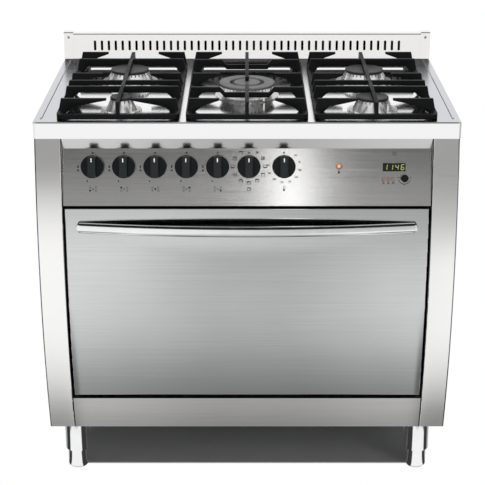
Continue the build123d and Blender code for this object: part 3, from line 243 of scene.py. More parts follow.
def sheetSteel(name):
    look = steelLooks[name]
    finish, tree, shader = startFinish(name, Metallic=1.0, Anisotropic=look["spread"])
    lines = grainNoise(tree, look["grain"], brushLook["lineDetail"])
    clouds = grainNoise(tree, brushLook["clouds"], brushLook["cloudDetail"])
    both = worked(tree, "MULTIPLY_ADD", clouds, brushLook["cloudShare"], lines)
    tone = toned(tree, both, look["dark"], look["pale"], *brushLook["span"])
    rough = ranged(tree, both, *look["rough"], *brushLook["span"])
    if "border" in look:
        # the flat border round the wells is duller than the wells and the lip, with pale strips that are a
        # painted reflection
        high = stepAt(tree, placeOf(tree, "Object", "Z"), look["border"], brushLook["borderSoft"])
        dull = mixed(tree, clouds, darker(look["borderTone"], brushLook["borderDark"]), look["borderTone"])
        strips = [stepAt(tree, offMiddle(tree), edge, brushLook["stripSoft"]) for edge in look["strips"]]
        dull = mixed(tree, worked(tree, "SUBTRACT", *strips), dull, look["reflectedStripTone"])
        tone = mixed(tree, high, tone, dull)
        rough = mixed(tree, high, rough, look["borderRough"], "FLOAT")
        facing = below(tree, placeOf(tree, "Normal", "Y"), -look["lip"])
        tone = mixed(tree, facing, tone, look["lipTone"])
        rough = mixed(tree, facing, rough, look["lipRough"], "FLOAT")
    if "ledge" in look:
        # the ledge above the panel's face has a satin finish
        high = stepAt(tree, placeOf(tree, "Object", "Z"), look["ledge"], brushLook["ledgeSoft"])
        tone = mixed(tree, high, tone, look["ledgeTone"])
        rough = mixed(tree, high, rough, look["ledgeRough"], "FLOAT")
    if "edge" in look:
        # painted reflection: the pillars' outer folds and inner edges are set dark, for the dark sides they
        # mirror
        across = offMiddle(tree)
        turned = worked(tree, "ABSOLUTE", placeOf(tree, "Normal", "X"))
        width, outer = look["edge"]
        inner = min(abs(v.co.x) for v in nodes["front_pillars"].data.vertices) + width
        frontal = below(tree, turned, brushLook["sideFace"])
        foldShade = times(tree, stepAt(tree, across, outer, brushLook["foldSoft"]), frontal)
        foldShade = worked(tree, "MAXIMUM", foldShade, below(tree, across, inner))
        tone = mixed(tree, foldShade, tone, look["edgeShadeTone"])
    if "inside" in look:
        # painted shade: the hollow behind the slots is set dark, apart from the faces turned up
        low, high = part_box("upstand")
        depth = placeOf(tree, "Object", "Y")
        soft = brushLook["insideSoft"]
        hollowShade = times(tree, stepAt(tree, depth, low.y + look["inside"], soft),
                       below(tree, depth, high.y - soft))
        hollowShade = times(tree, hollowShade, below(tree, offMiddle(tree), look["slots"]))
        turned = stepAt(tree, placeOf(tree, "Normal", "Z"), *brushLook["upward"])
        inner = mixed(tree, turned, hollowShade, 0.0, "FLOAT")
        tone = mixed(tree, inner, tone, look["insideTone"])
    tangent = tree.nodes.new("ShaderNodeTangent")
    tangent.direction_type = "RADIAL"
    tangent.axis = "X"
    wire(tree, shader, Base_Color=tone, Roughness=rough, Tangent=tangent.outputs["Tangent"])
    bump = bumped(tree, shader, lines, look["bump"], brushLook["depth"])
    if "bulge" in look:
        # shaded as if the sheet were rounded about its middle height, with a leaning ledge
        middle, radius = look["bulge"]
        rise = worked(tree, "SUBTRACT", placeOf(tree, "Object", "Z"), middle)
        rise = times(tree, times(tree, rise, rise), -0.5 / radius)
        above = worked(tree, "SUBTRACT", placeOf(tree, "Object", "Z"), look["ledge"])
        above = worked(tree, "MAXIMUM", above, 0.0)
        slope = math.tan(math.radians(look["ledgeLean"]))
        rise = worked(tree, "MULTIPLY_ADD", above, -slope, rise)
        tree.links.new(leaned(tree, rise), bump.inputs["Normal"])
    if "foot" in look:
        # shaded as if the sheet straightened up towards the foot
        top, angle = look["foot"]
        drop = worked(tree, "MAXIMUM", worked(tree, "SUBTRACT", top, placeOf(tree, "Object", "Z")), 0.0)
        scale = math.tan(math.radians(angle)) / (2 * (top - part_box("front_pillars")[0].z))
        rise = times(tree, times(tree, drop, drop), scale)
        tree.links.new(leaned(tree, rise), bump.inputs["Normal"])
    if "lean" in look:
        # the lip and the upstand are shaded as if they leaned back
        slope = math.tan(math.radians(look["lean"]))
        rise = times(tree, placeOf(tree, "Object", "Z"), slope)
        if "lip" in look:
            rise = times(tree, rise, facing)
        tree.links.new(leaned(tree, rise), bump.inputs["Normal"])
    return finish


# Bright plated and cast metals
brightLooks = {
    "handleChrome": {"dark": (0.88, 0.88, 0.89), "pale": (0.94, 0.94, 0.95), "rough": (0.10, 0.13),
                     "bump": 0.004, "back": 0.30, "reflectionBand": (0.70, 0.93), "backAndReflectionTone": (0.012, 0.012, 0.013, 1),
                     "flat": (0.06, 0.66)},
    "legChrome": {"dark": (0.90, 0.90, 0.91), "pale": (0.96, 0.96, 0.97), "rough": (0.08, 0.12),
                  "bump": 0.004, "toe": (0.005, 0.003), "toeShadeTone": (0.38, 0.38, 0.385, 1)},
    "rodSteel": {"dark": (0.45, 0.45, 0.45), "pale": (0.60, 0.60, 0.59), "rough": (0.28, 0.38), "bump": 0.03},
    "castAluminium": {"dark": (0.86, 0.86, 0.86), "pale": (0.95, 0.95, 0.94), "rough": (0.24, 0.32),
                      "bump": 0.02},
    "tapBrass": {"dark": (0.56, 0.40, 0.17), "pale": (0.78, 0.60, 0.30), "rough": (0.22, 0.34), "bump": 0.03},
    "ringCopper": {"dark": (0.50, 0.25, 0.16), "pale": (0.62, 0.34, 0.22), "rough": (0.30, 0.40),
                   "bump": 0.02, "middle": 0.27, "middleTone": (0.60, 0.58, 0.55, 1)},
}


plateLook = {"clouds": (40, 40, 40), "cloudDetail": 4.0, "fine": (900, 900, 900), "fineDetail": 2.0,
             "depth": 0.0002, "backSoft": 0.02, "middleSoft": 0.03, "flatSoft": 0.001}


def brightMetal(name):
    look = brightLooks[name]
    finish, tree, shader = startFinish(name, Metallic=1.0)
    clouds = grainNoise(tree, plateLook["clouds"], plateLook["cloudDetail"])
    fine = grainNoise(tree, plateLook["fine"], plateLook["fineDetail"])
    tone = toned(tree, clouds, look["dark"], look["pale"])
    if "back" in look:
        # the side turned to the door is set black, and a black line along the top is a painted reflection
        rise = placeOf(tree, "Normal", "Z")
        start, end = look["reflectionBand"]
        soft = plateLook["backSoft"]
        line = times(tree, stepAt(tree, rise, start, soft), below(tree, rise, end))
        behind = worked(tree, "MAXIMUM", stepAt(tree, placeOf(tree, "Normal", "Y"), look["back"], soft), line)
        tone = mixed(tree, behind, tone, look["backAndReflectionTone"])
        wire(tree, shader, Metallic=mixed(tree, behind, 1.0, 0.0, "FLOAT"))
    if "middle" in look:
        # a grey middle inside the ring
        low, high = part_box("clock_button_1")
        scaledUp = panelUp / (high.x - low.x)
        rise = worked(tree, "SUBTRACT", alongAxis(tree, scaledUp), ((low + high) / 2).dot(scaledUp))
        side = worked(tree, "SUBTRACT", placeOf(tree, "Generated", "X"), 0.5)
        outer = stepAt(tree, lengthOf(tree, rise, side), look["middle"], plateLook["middleSoft"])
        tone = mixed(tree, outer, look["middleTone"], tone)
    if "toe" in look:
        # painted shade: the foot is set darker where it meets the floor
        paintedLightMask = stepAt(tree, placeOf(tree, "Object", "Z"), *look["toe"])
        tone = mixed(tree, paintedLightMask, look["toeShadeTone"], tone)
    wire(tree, shader, Base_Color=tone, Roughness=ranged(tree, clouds, *look["rough"]))
    bump = bumped(tree, shader, fine, look["bump"], plateLook["depth"])
    if "flat" in look:
        # the front of the bar is shaded as a flat, so it mirrors one band
        level, upper = look["flat"]
        rise = placeOf(tree, "Normal", "Z")
        inFlat = times(tree, stepAt(tree, rise, level, plateLook["flatSoft"]),
                       below(tree, rise, upper))
        facing = addNode(tree, "ShaderNodeCombineXYZ", X=placeOf(tree, "Normal", "X"),
                         Y=placeOf(tree, "Normal", "Y"), Z=mixed(tree, inFlat, rise, level, "FLOAT"))
        turned = addNode(tree, "ShaderNodeVectorTransform", Vector=facing.outputs["Vector"])
        turned.vector_type = "NORMAL"
        turned.convert_from = "OBJECT"
        turned.convert_to = "WORLD"
        tree.links.new(turned.outputs["Vector"], bump.inputs["Normal"])
    return finish


# Enamels, plastics, rubber, wool and ceramic: a tone, a speckle and a surface
coatLooks = {
    "castIron": {"dark": (0.003, 0.0033, 0.0035), "pale": (0.009, 0.0093, 0.010), "rough": (0.42, 0.54),
                 "grain": 700, "bump": 0.20, "depth": 0.0004, "shine": 0.12},
    "capEnamel": {"dark": (0.016, 0.016, 0.017), "pale": (0.028, 0.028, 0.030), "rough": (0.42, 0.54),
                  "grain": 900, "bump": 0.10, "depth": 0.0002, "shine": 0.35,
                  "middle": 0.10, "middleTone": (0.12, 0.12, 0.122, 1)},
    "ovenEnamel": {"dark": (0.030, 0.031, 0.034), "pale": (0.085, 0.087, 0.092), "rough": (0.22, 0.32),
                   "grain": 420, "bump": 0.05, "depth": 0.0002, "coat": 0.3},
    "knobPlastic": {"dark": (0.004, 0.0055, 0.0055), "pale": (0.008, 0.0105, 0.0105), "rough": (0.28, 0.36),
                    "grain": 1500, "bump": 0.06, "depth": 0.0001, "shine": 0.18,
                    "grip": 0.003, "gripSheenTone": (0.030, 0.035, 0.035, 1)},
    "mattPlastic": {"dark": (0.020, 0.020, 0.021), "pale": (0.036, 0.036, 0.037), "rough": (0.45, 0.60),
                    "grain": 1200, "bump": 0.15, "depth": 0.0002},
    "sealRubber": {"dark": (0.030, 0.030, 0.030), "pale": (0.060, 0.058, 0.055), "rough": (0.60, 0.75),
                   "grain": 500, "bump": 0.20, "depth": 0.0003},
    "mineralWool": {"dark": (0.42, 0.35, 0.20), "pale": (0.68, 0.60, 0.40), "rough": (0.85, 0.95),
                    "grain": 260, "bump": 0.60, "depth": 0.0015},
    "sparkCeramic": {"dark": (0.76, 0.75, 0.71), "pale": (0.86, 0.85, 0.82), "rough": (0.18, 0.26),
                     "grain": 600, "bump": 0.03, "depth": 0.0002, "coat": 0.2},
    "panelInk": {"dark": (0.010, 0.010, 0.010), "pale": (0.022, 0.022, 0.022), "rough": (0.45, 0.55),
                 "grain": 2500, "bump": 0.05, "depth": 0.0001},
    "pointerWhite": {"dark": (0.74, 0.74, 0.73), "pale": (0.84, 0.84, 0.83), "rough": (0.35, 0.45),
                     "grain": 2500, "bump": 0.05, "depth": 0.0001},
}


coatBase = {"clouds": (25, 25, 25), "detail": 3.0, "coat": 0.0, "shine": 0.5, "middleDark": 0.8,
            "middleSoft": 0.001, "gripSoft": 0.0004}


def coatedFinish(name):
    look = {**coatBase, **coatLooks[name]}
    finish, tree, shader = startFinish(name, Coat_Weight=look["coat"], Specular_IOR_Level=look["shine"])
    speckle = grainNoise(tree, (look["grain"],) * 3, look["detail"])
    clouds = grainNoise(tree, look["clouds"], look["detail"])
    tone = toned(tree, speckle, look["dark"], look["pale"])
    if "middle" in look:
        # the caps of the centre burner are a paler grey than the others
        outside = stepAt(tree, offMiddle(tree), look["middle"], look["middleSoft"])
        pale = mixed(tree, speckle, darker(look["middleTone"], look["middleDark"]), look["middleTone"])
        tone = mixed(tree, outside, pale, tone)
    if "grip" in look:
        # painted sheen: the outer face of each bar grip is set paler
        top = max(v.co.dot(panelOut) for v in nodes["gas_knob_1"].data.vertices)
        paintedLightMask = stepAt(tree, alongAxis(tree, panelOut), top - look["grip"], look["gripSoft"])
        tone = mixed(tree, paintedLightMask, tone, mixed(tree, speckle, tone, look["gripSheenTone"]))
    wire(tree, shader, Base_Color=tone, Roughness=ranged(tree, clouds, *look["rough"]))
    bumped(tree, shader, speckle, look["bump"], look["depth"])
    return finish


glassLook = {"tint": (0.80, 0.86, 0.84, 1), "smudge": (0.01, 0.05), "ior": 1.5,
             "grain": (9, 9, 9), "detail": 3.0}


def clearGlass(name):
    look = glassLook
    finish, tree, shader = startFinish(name, Base_Color=look["tint"], Transmission_Weight=1.0)
    smudge = grainNoise(tree, look["grain"], look["detail"])
    wire(tree, shader, IOR=look["ior"], Roughness=ranged(tree, smudge, *look["smudge"]))
    return finish


# The lamp and the clock window are one node: amber to the left of the split, smoked black to the right
lensLook = {"split": 0.24, "amberDark": (0.66, 0.42, 0.27), "amberPale": (0.76, 0.52, 0.36),
            "ring": 0.55, "ringSoft": 0.08, "ringTone": (0.38, 0.115, 0.05, 1), "coat": 0.5,
            "smokeDark": (0.006, 0.007, 0.006), "smokePale": (0.012, 0.014, 0.012), "rough": (0.05, 0.10),
            "grain": (300, 300, 300), "detail": 2.0}


def lensFinish(name):
    look = lensLook
    finish, tree, shader = startFinish(name, Coat_Weight=look["coat"])
    side = worked(tree, "GREATER_THAN", placeOf(tree, "Object", "X"), look["split"])
    clouds = grainNoise(tree, look["grain"], look["detail"])
    spots = [v.co for v in nodes["panel_lenses"].data.vertices if v.co.x < look["split"]]
    low, high = (Vector([end(spot[i] for spot in spots) for i in range(3)]) for end in (min, max))
    centre = (low + high) / 2
    centre += panelOut * (max(spot.dot(panelOut) for spot in spots) - centre.dot(panelOut))
    away = vectorWorked(tree, "DISTANCE", objectPlace(tree), centre)
    radius = (high.x - low.x) / 2
    outer = stepAt(tree, away, look["ring"] * radius, look["ringSoft"] * radius)
    amber = toned(tree, clouds, look["amberDark"], look["amberPale"])
    amber = mixed(tree, outer, amber, look["ringTone"])
    smoke = toned(tree, clouds, look["smokeDark"], look["smokePale"])
    tone = mixed(tree, side, amber, smoke)
    wire(tree, shader, Base_Color=tone, Roughness=ranged(tree, clouds, *look["rough"]))
    return finish


digitLook = {"dark": (0.32, 0.36, 0.10), "pale": (0.44, 0.47, 0.17), "glow": 0.40,
             "grain": (800, 800, 800), "detail": 2.0}


def digitFinish(name):
    look = digitLook
    finish, tree, shader = startFinish(name, Emission_Strength=look["glow"])
    tone = toned(tree, grainNoise(tree, look["grain"], look["detail"]), look["dark"], look["pale"])
    wire(tree, shader, Base_Color=tone, Emission_Color=tone)
    return finish


finishKinds = ((steelLooks, sheetSteel), (brightLooks, brightMetal), (coatLooks, coatedFinish),
               (["ovenGlass"], clearGlass), (["panelLens"], lensFinish), (["clockDigits"], digitFinish))
finishes = {name: makeFinish(name) for names, makeFinish in finishKinds for name in names}
print("finishes:", len(finishes))

# Which finish each CAD node wears
nodeFinish = {
    "pillarSteel": ["front_pillars"],
    "plinthSteel": ["plinth_panel"],
    "panelSteel": ["control_panel"],
    "doorSteel": ["door_skin"],
    "hobSteel": ["worktop"],
    "upstandSteel": ["upstand", "upstand_end_caps"],
    "sideSteel": ["side_panels"],
    "zincSheet": ["base_frame", "rear_panel", "fan_motor", "hinge_arms", "hinge_straps", "oven_fan"],
    "handleChrome": ["door_handle"],
    "legChrome": ["leg_sleeves", "foot_front_left", "foot_front_right", "foot_rear_left", "foot_rear_right"],
    "rodSteel": ["gas_rail", "oven_shelf", "heating_elements", "fasteners"],
    "castAluminium": ["burner_cups", "flame_spreaders", "gas_pipes"],
    "tapBrass": ["gas_taps"] + [f"tap_spindle_{i}" for i in range(1, 6)],
    "ringCopper": [f"clock_button_{i}" for i in range(1, 4)],
    "castIron": ["pan_support_left", "pan_support_centre", "pan_support_right"],
    "capEnamel": ["burner_caps"],
    "ovenEnamel": ["oven_liner", "fan_cover", "door_liner"],
    "knobPlastic": (["function_knob", "thermostat_knob", "clock_knob"]
                    + [f"gas_knob_{i}" for i in range(1, 6)]),
    "mattPlastic": ["oven_switches", "clock_module", "terminal_box"],
    "sealRubber": ["door_seal"],
    "mineralWool": ["oven_jacket"],
    "sparkCeramic": ["spark_electrodes"],
    "ovenGlass": ["door_glass", "oven_lamp"],
    "panelLens": ["panel_lenses"],
}
for finishName, names in nodeFinish.items():
    for name in names:
        nodes[name].data.materials.clear()
        nodes[name].data.materials.append(finishes[finishName])
dressed = {name for names in nodeFinish.values() for name in names}
print("bare nodes:", sorted(set(nodes) - dressed))


# Cast pan supports: the solids with rounded edges
supportLook = {"edge": 0.0014, "steps": 2, "weld": 0.00002, "flat": 1.0, "sharp": 38.0, "bevelFrom": 30.0}


def roundedCopy(source, name, look):
    mesh = nodes[source].data.copy()
    mesh.name = name
    shape = bmesh.new()
    shape.from_mesh(mesh)
    bmesh.ops.remove_doubles(shape, verts=shape.verts, dist=look["weld"])
    flat = math.radians(look["flat"])
    bmesh.ops.dissolve_limit(shape, angle_limit=flat, verts=shape.verts, edges=shape.edges)
    shape.to_mesh(mesh)
    shape.free()
    piece = added(name, mesh)
    bevel = piece.modifiers.new("edges", "BEVEL")
    bevel.width = look["edge"]
    bevel.segments = look["steps"]
    bevel.limit_method = "ANGLE"
    bevel.angle_limit = math.radians(look["bevelFrom"])
    bevel.use_clamp_overlap = True
    view = bpy.context.evaluated_depsgraph_get()
    piece.data = bpy.data.meshes.new_from_object(piece.evaluated_get(view))
    piece.modifiers.clear()
    piece.data.shade_smooth()
    piece.data.set_sharp_from_angle(angle=math.radians(look["sharp"]))
    piece.data.materials.clear()
    return piece


for side in ("left", "centre", "right"):
    casting = roundedCopy(f"pan_support_{side}", f"casting_{side}", supportLook)
    casting.data.materials.append(finishes["castIron"])
    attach(casting, f"pan_support_{side}")
    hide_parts(f"pan_support_{side}")
print("pan supports: 3 castings")


# Bowed handle: a round bar swept on the CAD's arc, flat where it meets the curved skin
handleLook = {"radius": 0.0115, "tip": 0.0113, "tipSteps": 8, "stand": 0.006, "reach": 0.033, "steps": 120,
              "sides": 64, "skinRadius": 1.58, "skinMiddle": 0.528, "seat": 0.0001, "sharp": 50.0}


def bowedHandle():
    look = handleLook
    low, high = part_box("door_handle")
    half = (high.x - low.x) / 2
    middleZ = (low.z + high.z) / 2
    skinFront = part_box("door_skin")[0].y

    def skinAt(z):
        radius = look["skinRadius"]
        return skinFront + radius - math.sqrt(radius ** 2 - (z - look["skinMiddle"]) ** 2)

    face = skinAt(middleZ)
    sag = look["reach"] - look["stand"]
    arcRadius = (half ** 2 + sag ** 2) / (2 * sag)
    sweep = math.asin(half / arcRadius)
    tipTurn = look["tip"] / arcRadius
    tip = []
    for i in range(look["tipSteps"] + 1):
        t = math.pi / 2 * i / look["tipSteps"]
        tip.append((-sweep + tipTurn * (1 - math.cos(t)), look["radius"] - look["tip"] * (1 - math.sin(t))))
    reach = sweep - tipTurn
    middle = [(-reach + reach * 2 * i / look["steps"], look["radius"]) for i in range(1, look["steps"])]
    stations = tip + middle + [(-turn, size) for turn, size in tip[::-1]]
    shape = bmesh.new()
    rings = []
    for turn, size in stations:
        x = arcRadius * math.sin(turn)
        y = face - look["reach"] + arcRadius * (1 - math.cos(turn))
        inward = Vector((-math.sin(turn), math.cos(turn), 0))
        ring = []
        for k in range(look["sides"]):
            a = 2 * math.pi * k / look["sides"]
            spot = Vector((x, y, middleZ)) + inward * size * math.cos(a) + Vector((0, 0, size * math.sin(a)))
            spot.y = min(spot.y, skinAt(spot.z) - look["seat"])
            ring.append(shape.verts.new(spot))
        rings.append(ring)
    for first, second in zip(rings, rings[1:]):
        for k in range(look["sides"]):
            n = (k + 1) % look["sides"]
            shape.faces.new((first[k], first[n], second[n], second[k]))
    shape.faces.new(rings[0][::-1])
    shape.faces.new(rings[-1])
    bmesh.ops.recalc_face_normals(shape, faces=shape.faces)
    mesh = meshFrom(shape, "handle_bar")
    mesh.shade_smooth()
    mesh.set_sharp_from_angle(angle=math.radians(look["sharp"]))
    return added("handle_bar", mesh)


handleBar = bowedHandle()
handleBar.data.materials.append(finishes["handleChrome"])
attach(handleBar, "oven_door")
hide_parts("door_handle")
print("handle: one bar")


# Flat shapes for printed marks, as loops of (across, up) in millimetres
def disc(x, y, radius, steps=20):
    return [[(x + radius * math.cos(2 * math.pi * i / steps), y + radius * math.sin(2 * math.pi * i / steps))
             for i in range(steps)]]


def bar(x0, y0, x1, y1, width):
    u, v = Vector((x1 - x0, y1 - y0)).normalized() * width / 2
    return [[(x0 - u + v, y0 - v - u), (x1 + u + v, y1 + v - u),
             (x1 + u - v, y1 + v + u), (x0 - u - v, y0 - v + u)]]


def arc(x, y, radius, width, start, end, steps=24):
    # angles run clockwise from the top; the band is cut into short four-cornered pieces
    loops = []
    for i in range(steps):
        a, b = (math.radians(start + (end - start) * (i + k) / steps) for k in (0, 1))
        inner, outer = radius - width / 2, radius + width / 2
        corners = ((inner, a), (inner, b), (outer, b), (outer, a))
        loops.append([(x + r * math.sin(t), y + r * math.cos(t)) for r, t in corners])
    return loops


def flame(x, y, size, steps=20, width=0.48, height=0.6, taper=1.5):
    loop = []
    for i in range(steps):
        t = 2 * math.pi * (i + 0.5) / steps
        out = width * size * math.sin(t) * math.sin(t / 2) ** taper
        loop.append((x - out, y + height * size * math.cos(t)))
    return [loop]


def box(x, y, width, height, line):
    w, h = width / 2, height / 2
    return (bar(x - w, y - h, x + w, y - h, line) + bar(x - w, y + h, x + w, y + h, line)
            + bar(x - w, y - h, x - w, y + h, line) + bar(x + w, y - h, x + w, y + h, line))


def star(x, y, radius, line, arms=3):
    loops = []
    for i in range(arms):
        t = math.pi * i / arms
        u, v = radius * math.sin(t), radius * math.cos(t)
        loops += bar(x - u, y - v, x + u, y + v, line)
    return loops


def zigzag(x, y, width, height, line, turns=4):
    points = [(x - width / 2 + width * i / turns, y + (height / 2 if i % 2 else -height / 2))
              for i in range(turns + 1)]
    return [loop for a, b in zip(points, points[1:]) for loop in bar(*a, *b, line)]


def printed(name, loops, thickness, place):
    # each loop becomes a closed plate whose back lies on the surface
    shape = bmesh.new()
    for loop in loops:
        back = [shape.verts.new(place(x / 1000, y / 1000, 0.0)) for x, y in loop]
        front = [shape.verts.new(place(x / 1000, y / 1000, thickness)) for x, y in loop]
        shape.faces.new(front)
        shape.faces.new(back[::-1])
        for i in range(len(loop)):
            k = (i + 1) % len(loop)
            shape.faces.new((back[i], back[k], front[k], front[i]))
    bmesh.ops.recalc_face_normals(shape, faces=shape.faces)
    return added(name, meshFrom(shape, name))


# Marks printed round the knobs
markLook = {"thick": 0.00008, "off": 29.0, "offDot": 2.0, "flameX": -31.5, "flameUp": 0.4, "flame": 5.6,
            "flameDot": (-8.2, 2.1), "small": 4.0, "smallAt": (-12.0, -30.5), "plan": -48.0, "planX": 6.2,
            "planY": 3.2, "planDot": 1.7, "planLit": 1.25, "planLine": 0.7, "line": 1.0, "ring": 34.5,
            "ringStep": 30, "numbers": (50, 275, 25), "numberRing": 34.0, "numberSize": 5.4, "bold": 0.00016,
            "firstTurn": 46.0, "turnStep": 28.5, "weld": 0.000001}
# Oven signs: shares of the sign's width, height and line
iconLook = {"size": (7.4, 6.0), "bar": (0.30, 0.30, 1.3), "grill": (0.26, 0.66, 0.22), "fan": 0.24,
            "fanDrop": 0.08, "thaw": 0.34, "lamp": 0.30, "rays": 0.55, "rayLine": 0.6}
thermoLook = {"bulbUp": -2, "bulb": 2.2, "stem": (-1, 6), "line": 1.3, "ticks": (1, 3, 5), "tick": (2.2, 4.2),
              "tickLine": 0.5}
ovenKinds = ("lamp", "thaw", "base", "top", "topBase", "grill", "grillFan", "fan", "baseFan", "topFan",
             "topBaseFan")
# Marks round the lamp and the clock, in millimetres; the insets are in metres
clockLook = {"lampInset": 0.0065, "windowInset": 0.024, "lampDot": (-12.5, 2.3), "lampStem": -8.6,
             "stem": 1.3, "bellUp": 27.0, "bell": (3.6, 0.8), "bellDot": 0.9, "barUp": -10.8, "barHalf": 2.2,
             "humpUp": -9.2, "hump": (1.9, 1.0), "sweep": (12.5, 1.2, 105, 255), "flameUp": -14.6,
             "flame": 3.0, "ends": (11.2, 14.2), "endsUp": 1.5}
gasXs = [joints[f"gas_turn_{i}"]["pos_m"][0] * 1000 for i in range(1, 6)]
functionX = joints["function_turn"]["pos_m"][0] * 1000
thermostatX = joints["thermostat_turn"]["pos_m"][0] * 1000
clockKnob = Vector(joints["clock_turn"]["pos_m"]) - panelRow
clockKnobX = clockKnob.x * 1000
clockKnobUp = clockKnob.dot(panelUp) * 1000
lensLow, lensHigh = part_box("panel_lenses")
windowX = (lensHigh.x - clockLook["windowInset"]) * 1000


def burnerPlan(x, y, active):
    look = markLook
    w, h = look["planX"], look["planY"]
    loops = []
    for i, (dx, dy) in enumerate(((-w, -h), (-w, h), (0, 0), (w, h), (w, -h))):
        if i == active:
            loops += disc(x + dx, y + dy, look["planDot"] * look["planLit"])
        else:
            loops += arc(x + dx, y + dy, look["planDot"], look["line"] * look["planLine"], 0, 360, 14)
    return loops


def ovenIcon(kind, x, y):
    look = iconLook
    w, h = look["size"]
    line = markLook["line"]
    half, offset, bold = look["bar"]
    grillUp, grillWidth, grillHeight = look["grill"]
    loops = []
    if kind != "lamp":
        loops += box(x, y, w, h, line)
    if "top" in kind:
        loops += bar(x - w * half, y + h * offset, x + w * half, y + h * offset, line * bold)
    if "base" in kind:
        loops += bar(x - w * half, y - h * offset, x + w * half, y - h * offset, line * bold)
    if "grill" in kind:
        loops += zigzag(x, y + h * grillUp, w * grillWidth, h * grillHeight, line)
    if "fan" in kind:
        loops += star(x, y - (h * look["fanDrop"] if "grill" in kind else 0), h * look["fan"], line)
    if "thaw" in kind:
        loops += star(x, y, h * look["thaw"], line, 4)
    if kind == "lamp":
        loops += arc(x, y, h * look["lamp"], line, 0, 360, 16)
        loops += star(x, y, h * look["rays"], line * look["rayLine"], 4)
    return loops


def thermometer(x, up):
    look = thermoLook
    foot, top = look["stem"]
    near, far = look["tick"]
    loops = disc(x, up + look["bulbUp"], look["bulb"]) + bar(x, up + foot, x, up + top, look["line"])
    for rise in look["ticks"]:
        loops += bar(x + near, up + rise, x + far, up + rise, look["tickLine"])
    return loops


def panelMarks():
    look = markLook
    loops = []
    dotUp, dotSize = look["flameDot"]
    smallX, smallUp = look["smallAt"]
    for i, x in enumerate(gasXs):
        loops += disc(x, look["off"], look["offDot"])
        loops += flame(x + look["flameX"], look["flameUp"], look["flame"])
        loops += disc(x + look["flameX"], dotUp, dotSize)
        loops += flame(x + smallX, smallUp, look["small"])
        loops += burnerPlan(x, look["plan"], i)
    loops += disc(functionX, look["off"], look["offDot"]) + disc(thermostatX, look["off"], look["offDot"])
    for i, kind in enumerate(ovenKinds, start=1):
        turn = math.radians(look["ringStep"] * i)
        loops += ovenIcon(kind, functionX + look["ring"] * math.sin(turn), look["ring"] * math.cos(turn))
    loops += ovenIcon("topBase", functionX, look["plan"])
    return loops + thermometer(thermostatX, look["plan"])


def clockMarks():
    look = clockLook
    lampX = (lensLow.x + look["lampInset"]) * 1000
    dotUp, dotSize = look["lampDot"]
    loops = disc(lampX, dotUp, dotSize) + bar(lampX, dotUp, lampX, look["lampStem"], look["stem"])
    loops += arc(windowX, look["bellUp"], *look["bell"], 0, 360)
    loops += disc(windowX, look["bellUp"], look["bellDot"])
    level = clockKnobUp + look["barUp"]
    for i in range(1, 4):
        low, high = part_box(f"clock_button_{i}")
        x = (low.x + high.x) * 500
        loops += bar(x - look["barHalf"], level, x + look["barHalf"], level, look["stem"])
        loops += arc(x, clockKnobUp + look["humpUp"], *look["hump"], -90, 90, 10)
    loops += arc(clockKnobX, clockKnobUp, *look["sweep"])
    loops += flame(clockKnobX, clockKnobUp + look["flameUp"], look["flame"])
    near, far = look["ends"]
    level = clockKnobUp + look["endsUp"]
    for side in (-1, 1):
        loops += bar(clockKnobX + side * near, level, clockKnobX + side * far, level, look["stem"])
    return loops


def dialNumbers():
    # numbers of the thermostat, clockwise, each upright
    look = markLook
    joined = bmesh.new()
    for i, value in enumerate(range(*look["numbers"])):
        turn = math.radians(look["firstTurn"] + look["turnStep"] * i)
        words = bpy.data.curves.new("number", "FONT")
        words.body = str(value)
        words.size = look["numberSize"] / 1000
        words.align_x = "CENTER"
        words.align_y = "CENTER"
        words.extrude = look["thick"] / 2
        words.offset = look["bold"]
        holder = added("number", words)
        bpy.context.view_layer.update()
        mesh = bpy.data.meshes.new_from_object(holder.evaluated_get(bpy.context.evaluated_depsgraph_get()))
        x = thermostatX + look["numberRing"] * math.sin(turn)
        up = look["numberRing"] * math.cos(turn)
        spot = onPanel(x / 1000, up / 1000, look["thick"] / 2)
        axes = Matrix((panelAcross, panelUp, panelOut)).transposed().to_4x4()
        mesh.transform(Matrix.Translation(spot) @ axes)
        joined.from_mesh(mesh)
        bpy.data.objects.remove(holder)
        bpy.data.meshes.remove(mesh)
    bmesh.ops.remove_doubles(joined, verts=joined.verts, dist=look["weld"])
    return added("dial_numbers", meshFrom(joined, "dial_numbers"))


def dress(piece, finishName, body):
    piece.data.materials.clear()
    piece.data.materials.append(finishes[finishName])
    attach(piece, body)


for marks in (printed("panel_marks", panelMarks(), markLook["thick"], onPanel),
              printed("clock_marks", clockMarks(), markLook["thick"], onPanel), dialNumbers()):
    dress(marks, "panelInk", "cabinet")

# Clock digits, slanted, lying on the smoked window
digitShape = {"height": 11.0, "width": 6.0, "pitch": 12.0, "bar": 1.2, "gap": 0.35, "slant": 0.12,
              "thick": 0.0001, "up": -1.5}
litBars = {"1": "bc", "4": "bcfg", "6": "acdefg"}


def digitLoops(text, centreX, centreUp):
    look = digitShape
    loops = []
    w, h, t, g = look["width"] / 2, look["height"] / 2, look["bar"], look["gap"]
    for i, sign in enumerate(text):
        x = centreX + look["pitch"] * (i - (len(text) - 1) / 2)
        spans = {"a": (-w, h, w, h), "d": (-w, -h, w, -h), "g": (-w, 0, w, 0), "f": (-w, 0, -w, h),
                 "b": (w, 0, w, h), "e": (-w, -h, -w, 0), "c": (w, -h, w, 0)}
        for name in litBars[sign]:
            a, b = Vector(spans[name][:2]), Vector(spans[name][2:])
            along = (b - a).normalized()
            across = Vector((-along.y, along.x)) * t / 2
            a, b = a + along * g, b - along * g
            inner, outer = a + along * t / 2, b - along * t / 2
            corners = [a, inner - across, outer - across, b, outer + across, inner + across]
            loops.append([(x + c.x + look["slant"] * c.y, centreUp + c.y) for c in corners])
    return loops


